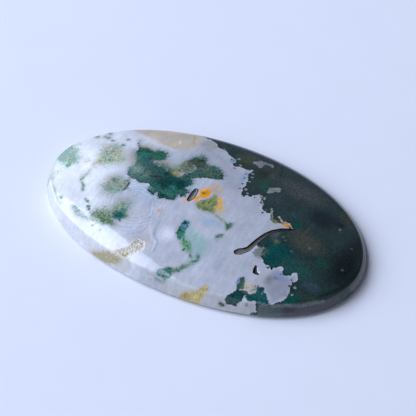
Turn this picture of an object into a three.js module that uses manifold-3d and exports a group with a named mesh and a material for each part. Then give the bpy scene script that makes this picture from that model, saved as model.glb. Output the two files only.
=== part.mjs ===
// A polished moss agate cabochon: an oval with a flat back, a steep wall and a low dome above a crease,
// with the few natural hollows that its polished face leaves open.
// Millimetres, +Z up. The origin is on the flat back, in the middle of the oval's box.
// The long axis lies along X, with the stone's dark end towards +X.
import * as THREE from "three";
import { mergeVertices } from "three/addons/utils/BufferGeometryUtils.js";
import Module from "manifold-3d";

// The oval, an ellipse whose radius waves slightly, because it was cut by hand
const HALF_LENGTH = 19.0;
const HALF_WIDTH = 11.62;
const WAVE_SIN2 = 0.009;
const WAVE_SIN3 = -0.017;
const WAVE_COS3 = -0.004;
const WAVE_COS4 = -0.005;

// Heights above the flat back
const STONE_HEIGHT = 4.0;
const GIRDLE_HEIGHT = 0.5; // the widest line
const CREASE_HEIGHT = 1.77; // the edge between wall and dome, on average
const CREASE_RISE_X = -0.3; // lower towards the dark end
const CREASE_RISE_Y = -0.33; // and towards the far side

// How far each edge lies inside the widest line
const BACK_INSET = 0.4;
const CREASE_INSET = 0.62;
const CREASE_INSET_WAVE = -0.18; // the wall stands steeper at the two ends than at the sides

// Fineness of the faceted solid
const SEGMENTS = 112;
const DOME_RINGS = 12;
const GROOVE_SIDES = 8;

// The hollows on the dome: points along each one's middle with the half width there, and its depth.
// The first and last point of a hollow are its two tips.
const HOLLOWS = [
  {
    // long fissure
    depth: 0.35,
    route: [
      { x: 10.0, y: 0.9 },
      { x: 9.1, y: 0.25, half: 0.09 },
      { x: 8.35, y: -0.6, half: 0.13 },
      { x: 7.9, y: -1.45, half: 0.16 },
      { x: 7.6, y: -2.35, half: 0.18 },
      { x: 7.35, y: -3.2, half: 0.18 },
      { x: 7.15, y: -4.0, half: 0.24 },
      { x: 6.75, y: -4.55, half: 0.36 },
      { x: 6.4, y: -4.8, half: 0.32 },
      { x: 6.1, y: -5.0 },
    ],
  },
  {
    // short slot
    depth: 0.3,
    route: [
      { x: -1.68, y: 0.65 },
      { x: -1.64, y: 0.2, half: 0.16 },
      { x: -1.62, y: -0.4, half: 0.18 },
      { x: -1.64, y: -1.0, half: 0.17 },
      { x: -1.7, y: -1.4 },
    ],
  },
  {
    // bent pit
    depth: 0.55,
    route: [
      { x: 8.75, y: -5.45 },
      { x: 8.92, y: -5.8, half: 0.17 },
      { x: 9.15, y: -6.2, half: 0.2 },
      { x: 9.6, y: -6.15 },
    ],
  },
  {
    // upper crystal pocket
    depth: 0.18,
    route: [
      { x: -4.6, y: -8.35 },
      { x: -4.25, y: -8.5, half: 0.24 },
      { x: -3.85, y: -8.85, half: 0.26 },
      { x: -3.6, y: -9.15 },
    ],
  },
  {
    // lower crystal pocket
    depth: 0.2,
    route: [
      { x: -5.1, y: -9.45 },
      { x: -4.75, y: -9.6, half: 0.22 },
      { x: -4.4, y: -9.85, half: 0.22 },
      { x: -4.15, y: -10.05 },
    ],
  },
];

// A point of the widest line, at the ellipse's parameter t
function rawOutlinePoint(t) {
  const wave =
    1 +
    WAVE_SIN2 * Math.sin(2 * t) +
    WAVE_SIN3 * Math.sin(3 * t) +
    WAVE_COS3 * Math.cos(3 * t) +
    WAVE_COS4 * Math.cos(4 * t);
  return new THREE.Vector2(HALF_LENGTH * Math.cos(t) * wave, HALF_WIDTH * Math.sin(t) * wave);
}

function turns(count) {
  return Array.from({ length: count }, (_, i) => (2 * Math.PI * i) / count);
}

const OVAL_MIDDLE = new THREE.Box2()
  .setFromPoints(turns(SEGMENTS * 16).map(rawOutlinePoint))
  .getCenter(new THREE.Vector2());

// The same point moved inward, square to the widest line, in the centred frame
function outlinePoint(t, inset) {
  const step = 1e-3;
  const along = rawOutlinePoint(t + step).sub(rawOutlinePoint(t - step)).normalize();
  const inward = new THREE.Vector2(-along.y, along.x);
  return rawOutlinePoint(t).sub(OVAL_MIDDLE).addScaledVector(inward, inset);
}

function creasePoint(t) {
  return outlinePoint(t, CREASE_INSET + CREASE_INSET_WAVE * Math.cos(2 * t));
}

function creaseHeight(t) {
  return CREASE_HEIGHT + CREASE_RISE_X * Math.cos(t) + CREASE_RISE_Y * Math.sin(t);
}

// Height of the dome where the distance from the middle is the given share of the crease's distance
function domeHeight(t, share) {
  const crease = creaseHeight(t);
  return crease + (STONE_HEIGHT - crease) * (1 - share ** 2);
}

// Height of the dome above a place in plan
function domeHeightAt(x, y) {
  const t = Math.atan2(y / (HALF_WIDTH - CREASE_INSET), x / (HALF_LENGTH - CREASE_INSET));
  return domeHeight(t, Math.hypot(x, y) / creasePoint(t).length());
}

// One closed skin over rings of points that all have the same count, with a tip at each end.
// The rings run anticlockwise when they are seen from the last tip.
function skin(firstTip, rings, lastTip) {
  const count = rings[0].length;
  const points = [firstTip, ...rings.flat(), lastTip];
  const last = points.length - 1;
  const faces = [];
  for (let i = 0; i < count; i += 1) {
    const next = (i + 1) % count;
    faces.push(0, 1 + next, 1 + i);
    for (let ring = 0; ring + 1 < rings.length; ring += 1) {
      const low = 1 + ring * count;
      const high = low + count;
      faces.push(low + i, low + next, high + next);
      faces.push(low + i, high + next, high + i);
    }
    faces.push(last, last - count + i, last - count + next);
  }
  const geometry = new THREE.BufferGeometry().setFromPoints(points);
  geometry.setIndex(faces);
  return geometry;
}

// The cut stone before its hollows: back edge, widest line, crease, and the rings of the dome
function uncutStone() {
  const angles = turns(SEGMENTS);
  const ring = (place) => angles.map(place);
  const at = (plan, height) => new THREE.Vector3(plan.x, plan.y, height);
  const rings = [
    ring((t) => at(outlinePoint(t, BACK_INSET), 0)),
    ring((t) => at(outlinePoint(t, 0), GIRDLE_HEIGHT)),
  ];
  for (let i = 0; i < DOME_RINGS; i += 1) {
    const share = 1 - i / DOME_RINGS;
    rings.push(ring((t) => at(creasePoint(t).multiplyScalar(share), domeHeight(t, share))));
  }
  return skin(new THREE.Vector3(0, 0, 0), rings, new THREE.Vector3(0, 0, STONE_HEIGHT));
}

// The body that a hollow takes away: an oval tube that follows the dome, half sunk in it
function hollowCutter({ depth, route }) {
  const middles = route.map(({ x, y }) => new THREE.Vector3(x, y, domeHeightAt(x, y)));
  const rings = [];
  for (let i = 1; i + 1 < route.length; i += 1) {
    const along = middles[i + 1].clone().sub(middles[i - 1]).normalize();
    const up = new THREE.Vector3(0, 0, 1).addScaledVector(along, -along.z).normalize();
    const side = new THREE.Vector3().crossVectors(up, along);
    rings.push(
      turns(GROOVE_SIDES).map((a) =>
        middles[i]
          .clone()
          .addScaledVector(side, route[i].half * Math.cos(a))
          .addScaledVector(up, depth * Math.sin(a)),
      ),
    );
  }
  return skin(middles[0], rings, middles[middles.length - 1]);
}

const wasm = await Module();
wasm.setup();

function toSolid(geometry) {
  geometry.deleteAttribute("normal");
  geometry.deleteAttribute("uv");
  const merged = mergeVertices(geometry);
  return new wasm.Manifold(
    new wasm.Mesh({
      numProp: 3,
      vertProperties: merged.attributes.position.array,
      triVerts: new Uint32Array(merged.index.array),
    }),
  );
}

function toGeometry(solid) {
  const { vertProperties, triVerts } = solid.getMesh();
  const geometry = new THREE.BufferGeometry();
  geometry.setAttribute("position", new THREE.BufferAttribute(vertProperties, 3));
  geometry.setIndex(new THREE.BufferAttribute(triVerts, 1));
  geometry.computeVertexNormals();
  return geometry;
}

function cabochonGeometry() {
  let solid = toSolid(uncutStone());
  for (const hollow of HOLLOWS) {
    solid = solid.subtract(toSolid(hollowCutter(hollow)));
  }
  return toGeometry(solid);
}

const polishedAgate = new THREE.MeshStandardMaterial({ color: 0x9ba6b4, roughness: 0.12, metalness: 0 });

const cabochon = new THREE.Mesh(cabochonGeometry(), polishedAgate);
cabochon.name = "cabochon";

const mossAgate = new THREE.Group();
mossAgate.add(cabochon);

export default mossAgate;
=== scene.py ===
"""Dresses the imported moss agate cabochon: a fine polished skin, its grown-in pattern, and a pale studio.

Shapes and pattern are drawn in millimetres, seen from above, with the stone's dark end towards +X.
MM turns them into Blender's metres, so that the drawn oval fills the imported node's box.
"""
import math
from collections.abc import Callable
from typing import NamedTuple

import bmesh
import bpy
import numpy as np
from mathutils import Matrix, Vector


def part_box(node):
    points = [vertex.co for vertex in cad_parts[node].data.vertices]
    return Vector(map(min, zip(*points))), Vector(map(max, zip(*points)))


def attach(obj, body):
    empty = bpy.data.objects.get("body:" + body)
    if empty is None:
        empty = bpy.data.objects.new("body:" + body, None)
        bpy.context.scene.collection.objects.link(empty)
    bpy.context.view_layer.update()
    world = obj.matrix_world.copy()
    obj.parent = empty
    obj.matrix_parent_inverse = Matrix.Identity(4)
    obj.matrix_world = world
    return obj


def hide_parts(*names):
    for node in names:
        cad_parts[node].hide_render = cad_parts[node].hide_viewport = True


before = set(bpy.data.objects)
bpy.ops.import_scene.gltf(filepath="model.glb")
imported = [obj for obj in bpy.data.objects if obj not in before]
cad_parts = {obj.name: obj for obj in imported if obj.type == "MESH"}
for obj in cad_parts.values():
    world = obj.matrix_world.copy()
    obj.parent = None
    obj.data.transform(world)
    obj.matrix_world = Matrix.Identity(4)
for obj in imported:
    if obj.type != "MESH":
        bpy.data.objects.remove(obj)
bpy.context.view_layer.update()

# The oval, an ellipse whose radius waves slightly
HALF_LENGTH = 19.0
HALF_WIDTH = 11.62
WAVE_SIN2 = 0.009
WAVE_SIN3 = -0.017
WAVE_COS3 = -0.004
WAVE_COS4 = -0.005
OUTLINE_STEPS = 2880

# Heights above the flat back, and how far each edge lies inside the widest line
STONE_HEIGHT = 4.0
GIRDLE_HEIGHT = 0.5
CREASE_HEIGHT = 1.77
CREASE_RISE_X = -0.3
CREASE_RISE_Y = -0.33
BACK_INSET = 0.4
CREASE_INSET = 0.62
CREASE_INSET_WAVE = -0.18

# How far each edge is rounded over, measured along the face
CREASE_ROUNDING = 0.07
CREASE_ROUNDING_FAR = 0.3  # more of it on the far side
GIRDLE_ROUNDING = 0.2
BACK_ROUNDING = 0.15
DOME_GUIDE = 0.98  # the share of the crease's distance where the rounding takes the dome's slope
BACK_GUIDE = 1.8  # and the inset where it takes the back's

# Cells of the dome's grid along and across, and how much coarser the back's grid is
COLUMNS = 280
ROWS = 172
BACK_STEP = 2
BACK_GRID_SHARE = 0.985  # how much of the flat back its grid fills
WALL_ROWS = 5
ROUNDING_ROWS = 3
FINE_CUTS = 3  # extra cuts of each grid edge beside a hollow
FINE_REACH = 0.3  # millimetres from the hollow that get them

# The hollows in the dome: points along the middle, x, y and half width, and the depth
FISSURE = [
    (10.0, 0.9, 0.03),
    (9.1, 0.25, 0.09),
    (8.35, -0.6, 0.13),
    (7.9, -1.45, 0.16),
    (7.6, -2.35, 0.18),
    (7.35, -3.2, 0.18),
    (7.15, -4.0, 0.2),
    (6.8, -4.45, 0.24),
    (6.45, -4.75, 0.3),
    (6.2, -4.95, 0.2),
]
SLOT = [
    (-1.66, 0.4, 0.17),
    (-1.64, 0.1, 0.23),
    (-1.62, -0.4, 0.26),
    (-1.64, -0.9, 0.24),
    (-1.68, -1.15, 0.17),
]
PIT = [
    (8.85, -5.5, 0.03),
    (8.93, -5.8, 0.1),
    (9.1, -6.15, 0.13),
    (9.45, -6.2, 0.03),
]
HOLLOWS = [(FISSURE, 0.2), (SLOT, 0.16), (PIT, 0.4)]

# The dark colour, painted shade along each hollow's rim as well as the pattern's own dark rims and specks,
# and the hollow's floor
INK_AND_SHADE = (16, 18, 24)
RIM_SHADE_WIDTH = 0.07
RIM_SHADE_OUTSIDE = 0.04  # how far the line's middle lies outside the rim
RIM_SHADE_RAGGED = 0.02
RIM_SHADE_EDGE = (-0.02, 0.03)  # the depths between which the line's colour sets in
HOLLOW_FLOOR = (118, 124, 128)
HOLLOW_FLOOR_EDGE = (-0.02, 0.05)

# The crust of small crystals: its bed's depth, and over how many millimetres it gets there
CRUST_DEPTH = 0.06
CRUST_BLUR = 0.3
CRYSTAL_SIZE = 0.22
CRYSTAL_TILT = (0.55, 0.55, 0.02)  # a facet's steepest slope along x and y, and its largest step up or down
CRYSTAL_JITTER = (0.1, 0.9)  # where in its cell a crystal may stand
CRYSTAL_TABLE = 64  # crystals that are drawn each way before they repeat
CRYSTAL_SEED = 5

# How the pattern wanders over the back
BACK_DRIFT = 2.2
BACK_WAVE_X = 0.55
BACK_WAVE_X_START = 1.0
BACK_WAVE_Y = 0.42

# How shapes of the pattern are painted
FAR_AWAY = 3.0  # millimetres beyond which a shape has no part
LEAST_BLUR = 0.12
UNINKED_BLUR = 0.3  # an edge this soft has no dark rim
GRIT = 0.3  # how much lighter and darker the grains of a shape are, where it doesn't say
WALL_PAINTED_SHADE = 0.12  # painted shade: how much darker the milk of the steep wall is painted than the dome's
WALL_PAINTED_SHADE_BLUR = 0.25

# The material's noises: bumps in a millimetre, detail and roughness
TEETH_NOISE = (2.0, 5.0, 0.7)
GRAIN_NOISE = (3.2, 2.0, 0.6)
DUST_NOISE = (5.2, 1.0, 0.5)
PEPPER_NOISE = (4.6, 1.0, 0.5)
CLOUD_NOISE = (0.5, 4.0, 0.6)
WISP_NOISE = (1.0, 4.0, 0.65)
LOBES_PER_MM = 1.9
HUES_PER_MM = 0.8
HUES_DETAIL = 3.0
PEPPER_RANGE = (0.35, 0.75)  # the noise between which a speck sets in
LEVEL_DUST = 0.8  # dust beside grain in the level that decides where grains lie
LEVEL_RANGE = (-0.9, 0.9)

# Grains and edges of the pigments
GRAIN_CAP = 1.3  # how much lighter than its layer a grain may be
GRAIN_CLOUDS = 0.5  # clouds beside grain in a layer's light and dark
GRAIN_CLEARNESS = 0.14  # how softly a grain fades at its own border
EDGE_LOBES = 0.13  # how far, in millimetres, the round lobes of an inked edge reach past its drawn line
EDGE_RAGGED = 0.1  # and how far the fine teeth of any edge stray
EDGE_RAGGED_BLUR = 0.5  # and how much more of its blur a soft edge strays
FRINGE_EDGE = (-0.3, -0.06)  # the depths between which the pale fringe outside an inked edge sets in
VEIL_BLURS = 2.0  # how far out a veil begins: blurs of the edge, and millimetres more
VEIL_MORE = 0.1
RIM_EDGE = (0.08, 0.2)  # the depths between which the dark rim fades
RIM_BREAKS = (-0.5, 0.15)  # the teeth's noise between which a broken rim comes back
RIM_WEAKEST = 0.15

# The milky ground: how much clouds, grains, rings and wisps lighten it, and how far its hues drift
MILK_CLOUDS = 0.12
MILK_GRAINS = 0.05
MILK_RINGS = 0.09
MILK_WISPS = 0.1
MILK_HUES = (0.15, 0.06, 0.05)
WISP_TURN = 0.35
WISP_SCALE = (2.6, 0.6, 1.0)

# The fine rings of growth: what they run round, and how far out they begin and end
RING_MIDDLE = (-6.8, -4.2, 0.0)
RING_START = 0.9
RING_END = 4.2
RING_FADE_IN = 1.0
RING_FADE_OUT = 1.2
RING_SPACING = 0.42
RING_WAVER = 5.0

# The surface
POLISH_ROUGHNESS = 0.05
CRUST_ROUGHNESS = 0.35  # more of it on the crust
CRUST_RAGGED = 0.2
CRUST_EDGE = (-0.1, 0.15)
AGATE_IOR = 1.54
SCATTER_SHARE = 0.5
SCATTER_DEPTH = 1.2

# The floor's colour as the picture shows it, and how much of the light a white thing gives back
FLOOR_SEEN = (212, 223, 253)
WHITE = 0.8
FLOOR_ROUGHNESS = 0.9
FLOOR_IOR = 1.2
FLOOR_HALF = 10000.0
FLOOR_MOTTLE = 0.01
FLOOR_NOISE = (0.15, 4.0)

CAMERA_AZIMUTH = math.radians(28.4)
CAMERA_ELEVATION = math.radians(48.0)
CAMERA_DISTANCE = 300.0
CAMERA_AIM = (-0.47, 0.94, 1.15)
CAMERA_CLIP = (0.01, 100.0)  # metres
SENSOR = 36.0
LENS = 234.8

# The window: the two ends of the edge that the dome mirrors, as directions, then its reach from that edge
WINDOW_EDGE_FROM = (-1.0, 0.59, 1.0)
WINDOW_EDGE_TO = (-0.25, -0.068, 1.0)
WINDOW_REACH = 1.1
WINDOW_WIDENING = 1.15
WINDOW_DISTANCE = 600.0
WINDOW_BRIGHTNESS = 5.9

# The room: its own brightness, then soft glows as direction, half angle in degrees and brightness
ROOM_BRIGHTNESS = 0.08
ROOM_GLOWS = [
    ((-0.66, 0.54, 0.52), 17.0, 2.5),
    ((-0.5, -0.8, 0.3), 75.0, 1.1),
    ((-0.15, 0.95, 0.3), 40.0, 0.12),
]

TINY = 1e-12  # keeps a length of zero from dividing


# The oval and the dome


def raw_outline(t):
    """Points of the widest line at the ellipse's parameter t."""
    wave = (
        1
        + WAVE_SIN2 * np.sin(2 * t)
        + WAVE_SIN3 * np.sin(3 * t)
        + WAVE_COS3 * np.cos(3 * t)
        + WAVE_COS4 * np.cos(4 * t)
    )
    return np.stack([HALF_LENGTH * np.cos(t) * wave, HALF_WIDTH * np.sin(t) * wave], -1)


TURN = np.linspace(-math.pi, math.pi, OUTLINE_STEPS + 1)
OVAL = raw_outline(TURN)
OVAL_MIDDLE = (OVAL.max(0) + OVAL.min(0)) / 2
BOX_LOW, BOX_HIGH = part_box("cabochon")
MM = (BOX_HIGH[0] - BOX_LOW[0]) / (OVAL[:, 0].max() - OVAL[:, 0].min())


def outward(t):
    """Directions square to the widest line."""
    step = 1e-4
    along = raw_outline(t + step) - raw_outline(t - step)
    across = np.stack([along[..., 1], -along[..., 0]], -1)
    return across / np.linalg.norm(across, axis=-1, keepdims=True)


def inset_ring(t, inset):
    return raw_outline(t) - OVAL_MIDDLE - outward(t) * np.broadcast_to(inset, np.shape(t))[..., None]


def crease_ring(t):
    return inset_ring(t, CREASE_INSET + CREASE_INSET_WAVE * np.cos(2 * t))


def crease_height(t):
    return CREASE_HEIGHT + CREASE_RISE_X * np.cos(t) + CREASE_RISE_Y * np.sin(t)


# The crease's distance from the middle and its parameter, by direction
CREASE = crease_ring(TURN)
CREASE_ANGLE = np.unwrap(np.arctan2(CREASE[:, 1], CREASE[:, 0]))
CREASE_REACH = np.hypot(CREASE[:, 0], CREASE[:, 1])


def dome_share(plan):
    """Each plan point's share of the crease's distance from the middle, and the parameter there."""
    angle = np.arctan2(plan[:, 1], plan[:, 0])
    angle = (angle - CREASE_ANGLE[0]) % (2 * math.pi) + CREASE_ANGLE[0]
    reach = np.interp(angle, CREASE_ANGLE, CREASE_REACH)
    t = np.interp(angle, CREASE_ANGLE, TURN)
    return np.hypot(plan[:, 0], plan[:, 1]) / reach, t


def dome_height(plan):
    share, t = dome_share(plan)
    crease = crease_height(t)
    return crease + (STONE_HEIGHT - crease) * (1 - share**2)


def to_segments(places, route, closed):
    """Distance from each place to a route, and where on the route the nearest point is, in segments."""
    route = np.asarray(route, float)
    ends = np.roll(route, -1, 0) if closed else route[1:]
    starts = route if closed else route[:-1]
    nearest = np.full(len(places), np.inf)
    where = np.zeros(len(places))
    for number, (start, end) in enumerate(zip(starts, ends)):
        along = end - start
        share = np.clip((places - start) @ along / max(along @ along, TINY), 0, 1)
        gap = places - start - share[:, None] * along
        distance = np.hypot(gap[:, 0], gap[:, 1])
        closer = distance < nearest
        nearest[closer] = distance[closer]
        where[closer] = number + share[closer]
    return nearest, where


def groove(places, route):
    """Distance from a hollow's middle line, and the half width at the nearest point of it."""
    route = np.asarray(route)
    distance, where = to_segments(places, route[:, :2], closed=False)
    return distance, np.interp(where, np.arange(len(route)), route[:, 2])


# Pattern: drawn outlines, with the colour that each has in the picture


class Shape(NamedTuple):
    """One drawn shape of a layer."""

    measure: Callable  # gives each place's depth inside (negative outside) and the blur at the nearest edge
    colour: tuple
    points: list
    soft: float | tuple  # the blur in millimetres, or that of an area's near and of its far edges
    size: tuple = (0, 0)  # a spot's radii, or a strand's half width twice
    ink: float = 0.0  # strength of the dark rim at crisp edges
    dense: float = 1.0  # the share that its grains fill
    grit: float = GRIT  # how much lighter and darker the grains are
    cover: bool = True  # whether it adds to what the layer covers, or only tints that


def spot_depth(shape, places):
    offset = (places - np.array(shape.points[0])) / np.array(shape.size)
    depth = (1 - np.hypot(offset[:, 0], offset[:, 1])) * min(shape.size)
    return depth, np.full(len(places), shape.soft)


def strand_depth(shape, places):
    distance, _ = to_segments(places, shape.points, closed=False)
    return shape.size[0] - distance, np.full(len(places), shape.soft)


def inside(places, outline):
    """Whether each place lies inside the outline, by crossings of a ray."""
    x, y = places[:, 0], places[:, 1]
    odd = np.zeros(len(places), bool)
    for (ax, ay), (bx, by) in zip(outline, np.roll(outline, -1, 0)):
        if ay == by:
            continue
        crosses = (ay > y) != (by > y)
        odd ^= crosses & (x < ax + (y - ay) * (bx - ax) / (by - ay))
    return odd


def area_depth(shape, places):
    outline = np.asarray(shape.points, float)
    distance, where = to_segments(places, outline, closed=True)
    depth = np.where(inside(places, outline), distance, -distance)
    edge = np.floor(where).astype(int) % len(outline)
    x, y = outline.T
    along = np.roll(outline, -1, 0) - outline
    length = np.maximum(np.hypot(along[:, 0], along[:, 1]), TINY)
    turning = np.sum(x * np.roll(y, -1) - np.roll(x, -1) * y)
    facing = -np.sign(turning) * along[:, 0] / length
    near, far = np.broadcast_to(shape.soft, 2)
    return depth, near + (far - near) * (facing[edge] + 1) / 2


def area(colour, outline, soft=0.08, **looks):
    """A patch inside an outline."""
    return Shape(area_depth, colour, outline, soft, **looks)


def spot(colour, x, y, rx, ry=None, soft=0.15, **looks):
    """A patch round one place, with its two radii."""
    return Shape(spot_depth, colour, [(x, y)], soft, (rx, ry or rx), **looks)


def strand(colour, half, route, soft=0.06, **looks):
    """A thread of even half width along a route."""
    return Shape(strand_depth, colour, route, soft, (half, half), **looks)


def tints(rows):
    """Colour that only tints, from rows of colour, x, y, two radii and blur."""
    return [spot(colour, x, y, rx, ry, soft, cover=False) for colour, x, y, rx, ry, soft in rows]


def lines(half, soft, rows, cover=True):
    """Threads of one width, from rows of colour and route."""
    return [strand(colour, half, route, soft, cover=cover) for colour, route in rows]


def marks(colour, radius, places, soft=0.07, cover=True):
    """Equal round dots."""
    return [spot(colour, x, y, radius, radius, soft, cover=cover) for x, y in places]


def on_wall(points):
    """Pattern places on the near wall, from the x of the crease above each and the millimetres below it."""
    near = TURN <= 0
    x, down = np.array(points, float).T
    t = np.interp(x, CREASE[near, 0], TURN[near])
    return [tuple(place) for place in crease_ring(t) + outward(t) * down[:, None]]


def smooth(value):
    value = np.clip(value, 0, 1)
    return value * value * (3 - 2 * value)


def linear(seen):
    seen = np.asarray(seen, float) / 255
    return np.where(seen <= 0.04045, seen / 12.92, ((seen + 0.055) / 1.055) ** 2.4)


def own_colour(seen):
    """A surface's own colour, from its 8-bit colour in the picture beside the floor's."""
    return linear(seen) * WHITE / linear(FLOOR_SEEN)


MILK = (172, 182, 209)
MILK_SHADES = [
    # the left end, painted pale partly as painted light from the window's sheen on it, and the beige field
    # at the far side with its ochre line, painted lighter partly as painted light on the far side
    area((196, 206, 232), [
        (-22, 11), (-11, 8), (-7, 6.2), (-7, 4.6), (-10, 4.6), (-12.5, 2), (-14, 0),
    ], soft=0.9),
    area((206, 217, 242), [
        (-22, 9), (-14.5, 6.5), (-12.5, 2), (-11.5, -2), (-10.2, -5), (-8.5, -7.8), (-5, -9), (-3, -9.8),
        (-3, -14), (-22, -14),
    ], soft=1.6),
    # painted shade: the wall round the left end, painted darker grey
    area((142, 152, 160), [
        (-22, 4), (-19, 2), (-18.75, 0), (-18.5, -1.6), (-18, -3), (-17.2, -4.3), (-19, -6), (-22, -5),
    ], soft=0.4),
    # partly painted light: the beige field is painted lighter for the light on the far side
    area((184, 180, 180), [
        (-13.2, 6.8), (-11.5, 6.4), (-10, 6.1), (-9.4, 5.8), (-8.4, 5.6), (-7.3, 5.5), (-6.2, 5.9),
        (-5.6, 6.6), (-5.2, 7.6), (-5.4, 9), (-5.8, 11), (-9, 12), (-13, 10),
    ], soft=(0.35, 0.7)),
    strand((190, 182, 176), 0.1, [
        (-9.6, 6.2), (-8.6, 5.8), (-7.3, 5.7), (-6.4, 6.1), (-5.9, 6.7),
    ], soft=0.2),
    strand((172, 164, 130), 0.1, [(-6.8, 9.6), (-6.4, 8.6), (-6, 7.8)], soft=0.18),
    # painted highlight: a white glint in the beige field
    strand((215, 215, 226), 0.08, [(-7.5, 7.4), (-7.2, 6.8)], soft=0.12),
    area((162, 168, 178), [
        (-5.3, 9.6), (-5.2, 8), (-4.2, 7.6), (-3, 8.2), (-3.2, 8.9), (-4, 9.6),
    ], soft=0.5),
    # the shade between the arm of moss and the dark end
    area((156, 166, 192), [
        (-5, 8), (-2.5, 7.4), (0.3, 6), (1.8, 4), (2.6, 2.4), (0.5, 2.2), (-0.2, 5), (-3, 6.8),
    ], soft=0.8),
    # the greenish haze beside the blue-teal patch, and the dull lower right corner
    area((146, 176, 192), [
        (0.1, -4.2), (1.5, -4.7), (3, -5.1), (3.3, -6.2), (3.2, -7.2), (2.2, -7.7), (1.3, -6.8),
        (0.3, -6.2),
    ], soft=0.55),
    area((148, 157, 184), [
        (10.4, -6.6), (11, -5), (12, -5.2), (13, -4.4), (13.6, -5.2), (13.4, -7), (12.4, -8.3),
        (11, -7.5),
    ], soft=0.5),
    area((174, 183, 204), [(1, -10.4), (7, -10.4), (11, -9), (12, -13), (0, -13.5)], soft=0.5),
    area((182, 190, 210), [
        (-5.5, -10.6), (-4, -10.4), (-3.4, -11.4), (-4.4, -12.5), (-6, -12.2),
    ], soft=0.3),
    *tints([
        ((168, 190, 224), -7.6, -2.0, 1.2, 0.5, 0.5),
        ((156, 180, 216), -5.8, -2.9, 0.9, 0.4, 0.4),
        ((150, 158, 168), -6.1, 2.5, 1.1, 0.45, 0.5),
        ((140, 176, 208), -2.35, 0.6, 0.25, 0.35, 0.15),
        ((96, 134, 174), -0.6, 7.2, 0.35, 0.45, 0.3),
        ((138, 162, 198), 1.9, 5.2, 0.35, 1.1, 0.4),
        ((178, 168, 172), 0.2, 1.6, 0.9, 0.7, 0.6),
        ((184, 172, 140), 0.1, 2.15, 0.35, 0.12, 0.2),
        ((196, 166, 150), -0.7, -1.05, 0.5, 0.25, 0.25),
        ((206, 168, 104), -1.85, -1.45, 0.28, 0.16, 0.1),
        ((152, 174, 206), 1.9, -2.9, 1.0, 0.5, 0.6),
        ((205, 214, 244), -1.7, -6.3, 0.7, 0.8, 0.7),
        ((124, 170, 198), 3.55, -4.6, 0.3, 0.15, 0.12),
        ((158, 172, 204), 5.3, -7.2, 0.4, 0.9, 0.4),
        ((182, 194, 222), 3.4, -9.0, 0.9, 0.6, 0.6),
        ((110, 118, 126), 8.6, -4.15, 0.35, 0.3, 0.3),
        ((84, 116, 156), 8.05, -7.85, 0.2, 0.4, 0.15),
        ((132, 150, 190), 11.7, -5.2, 0.8, 0.5, 0.4),
        ((124, 134, 146), 10.8, -6.2, 0.35, 0.5, 0.3),
        ((104, 128, 150), 11.4, -5.7, 0.25, 0.14, 0.15),
        ((228, 238, 252), -9, -10.3, 0.35, 0.3, 0.12),
        ((236, 224, 224), -11.7, -10.0, 0.3, 0.3, 0.3),
    ]),
    # painted shade: the near wall below the pale left end, painted a little darker than the milk above it
    area((196, 206, 230), on_wall([
        (-17.5, 0.1), (-14, 0.1), (-10, 0.1), (-6, 0.1), (-5, 2.6), (-10, 2.6), (-17.5, 2.6),
    ]), soft=0.25),
    # wavy lines of growth below the middle, and rings of growth on the wall
    *lines(0.05, 0.07, [
        ((152, 161, 188), [(-4.6, -4.2), (-4.25, -5.3), (-4.1, -6.3), (-4.3, -7.1), (-5, -7.6),
                           (-5.6, -7.9)]),
        ((160, 169, 195), [(-5.3, -5.2), (-4.85, -6), (-4.8, -6.8), (-5.3, -7.3)]),
        ((198, 207, 236), [(-4.1, -5.6), (-3.8, -6.2), (-3.3, -6.9), (-2.9, -7.4), (-2.35, -7.7),
                           (-2.2, -8.6)]),
        ((146, 156, 184), [(-3.1, -5.3), (-3.05, -6.5), (-2.8, -7), (-2.3, -7.3), (-2, -7.7),
                           (-1.95, -8.8)]),
        ((190, 198, 226), [(-5, -3.4), (-4.5, -4.6), (-4.0, -5.6)]),
        ((150, 160, 190), [(-5.5, -2.9), (-5.1, -3.9), (-4.7, -4.6)]),
        ((196, 202, 218), [(-9.6, -10.0), (-9.5, -10.5), (-9, -10.8), (-8.5, -10.6), (-8.4, -10.2)]),
        ((190, 197, 214), [(-10.2, -9.9), (-10.1, -10.8), (-9.2, -11.3), (-8, -11), (-7, -10.7)]),
        ((184, 196, 206), [(-18.6, -1.6), (-19, -2.2), (-19.6, -2.4)]),
        ((176, 188, 196), [(-18.3, -2.9), (-18.6, -3.6), (-19, -4)]),
        ((180, 190, 202), [(-18, -3.4), (-17.5, -4.2), (-16.9, -4.9), (-16.2, -5.7), (-15.5, -6.3)]),
        ((194, 202, 224), [(-14.6, -2), (-14.6, -2.8), (-14.3, -3.3)]),
        ((140, 148, 166), [(11.1, -6.1), (10.8, -6.4), (10.4, -6.9)]),
    ]),
]

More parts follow.
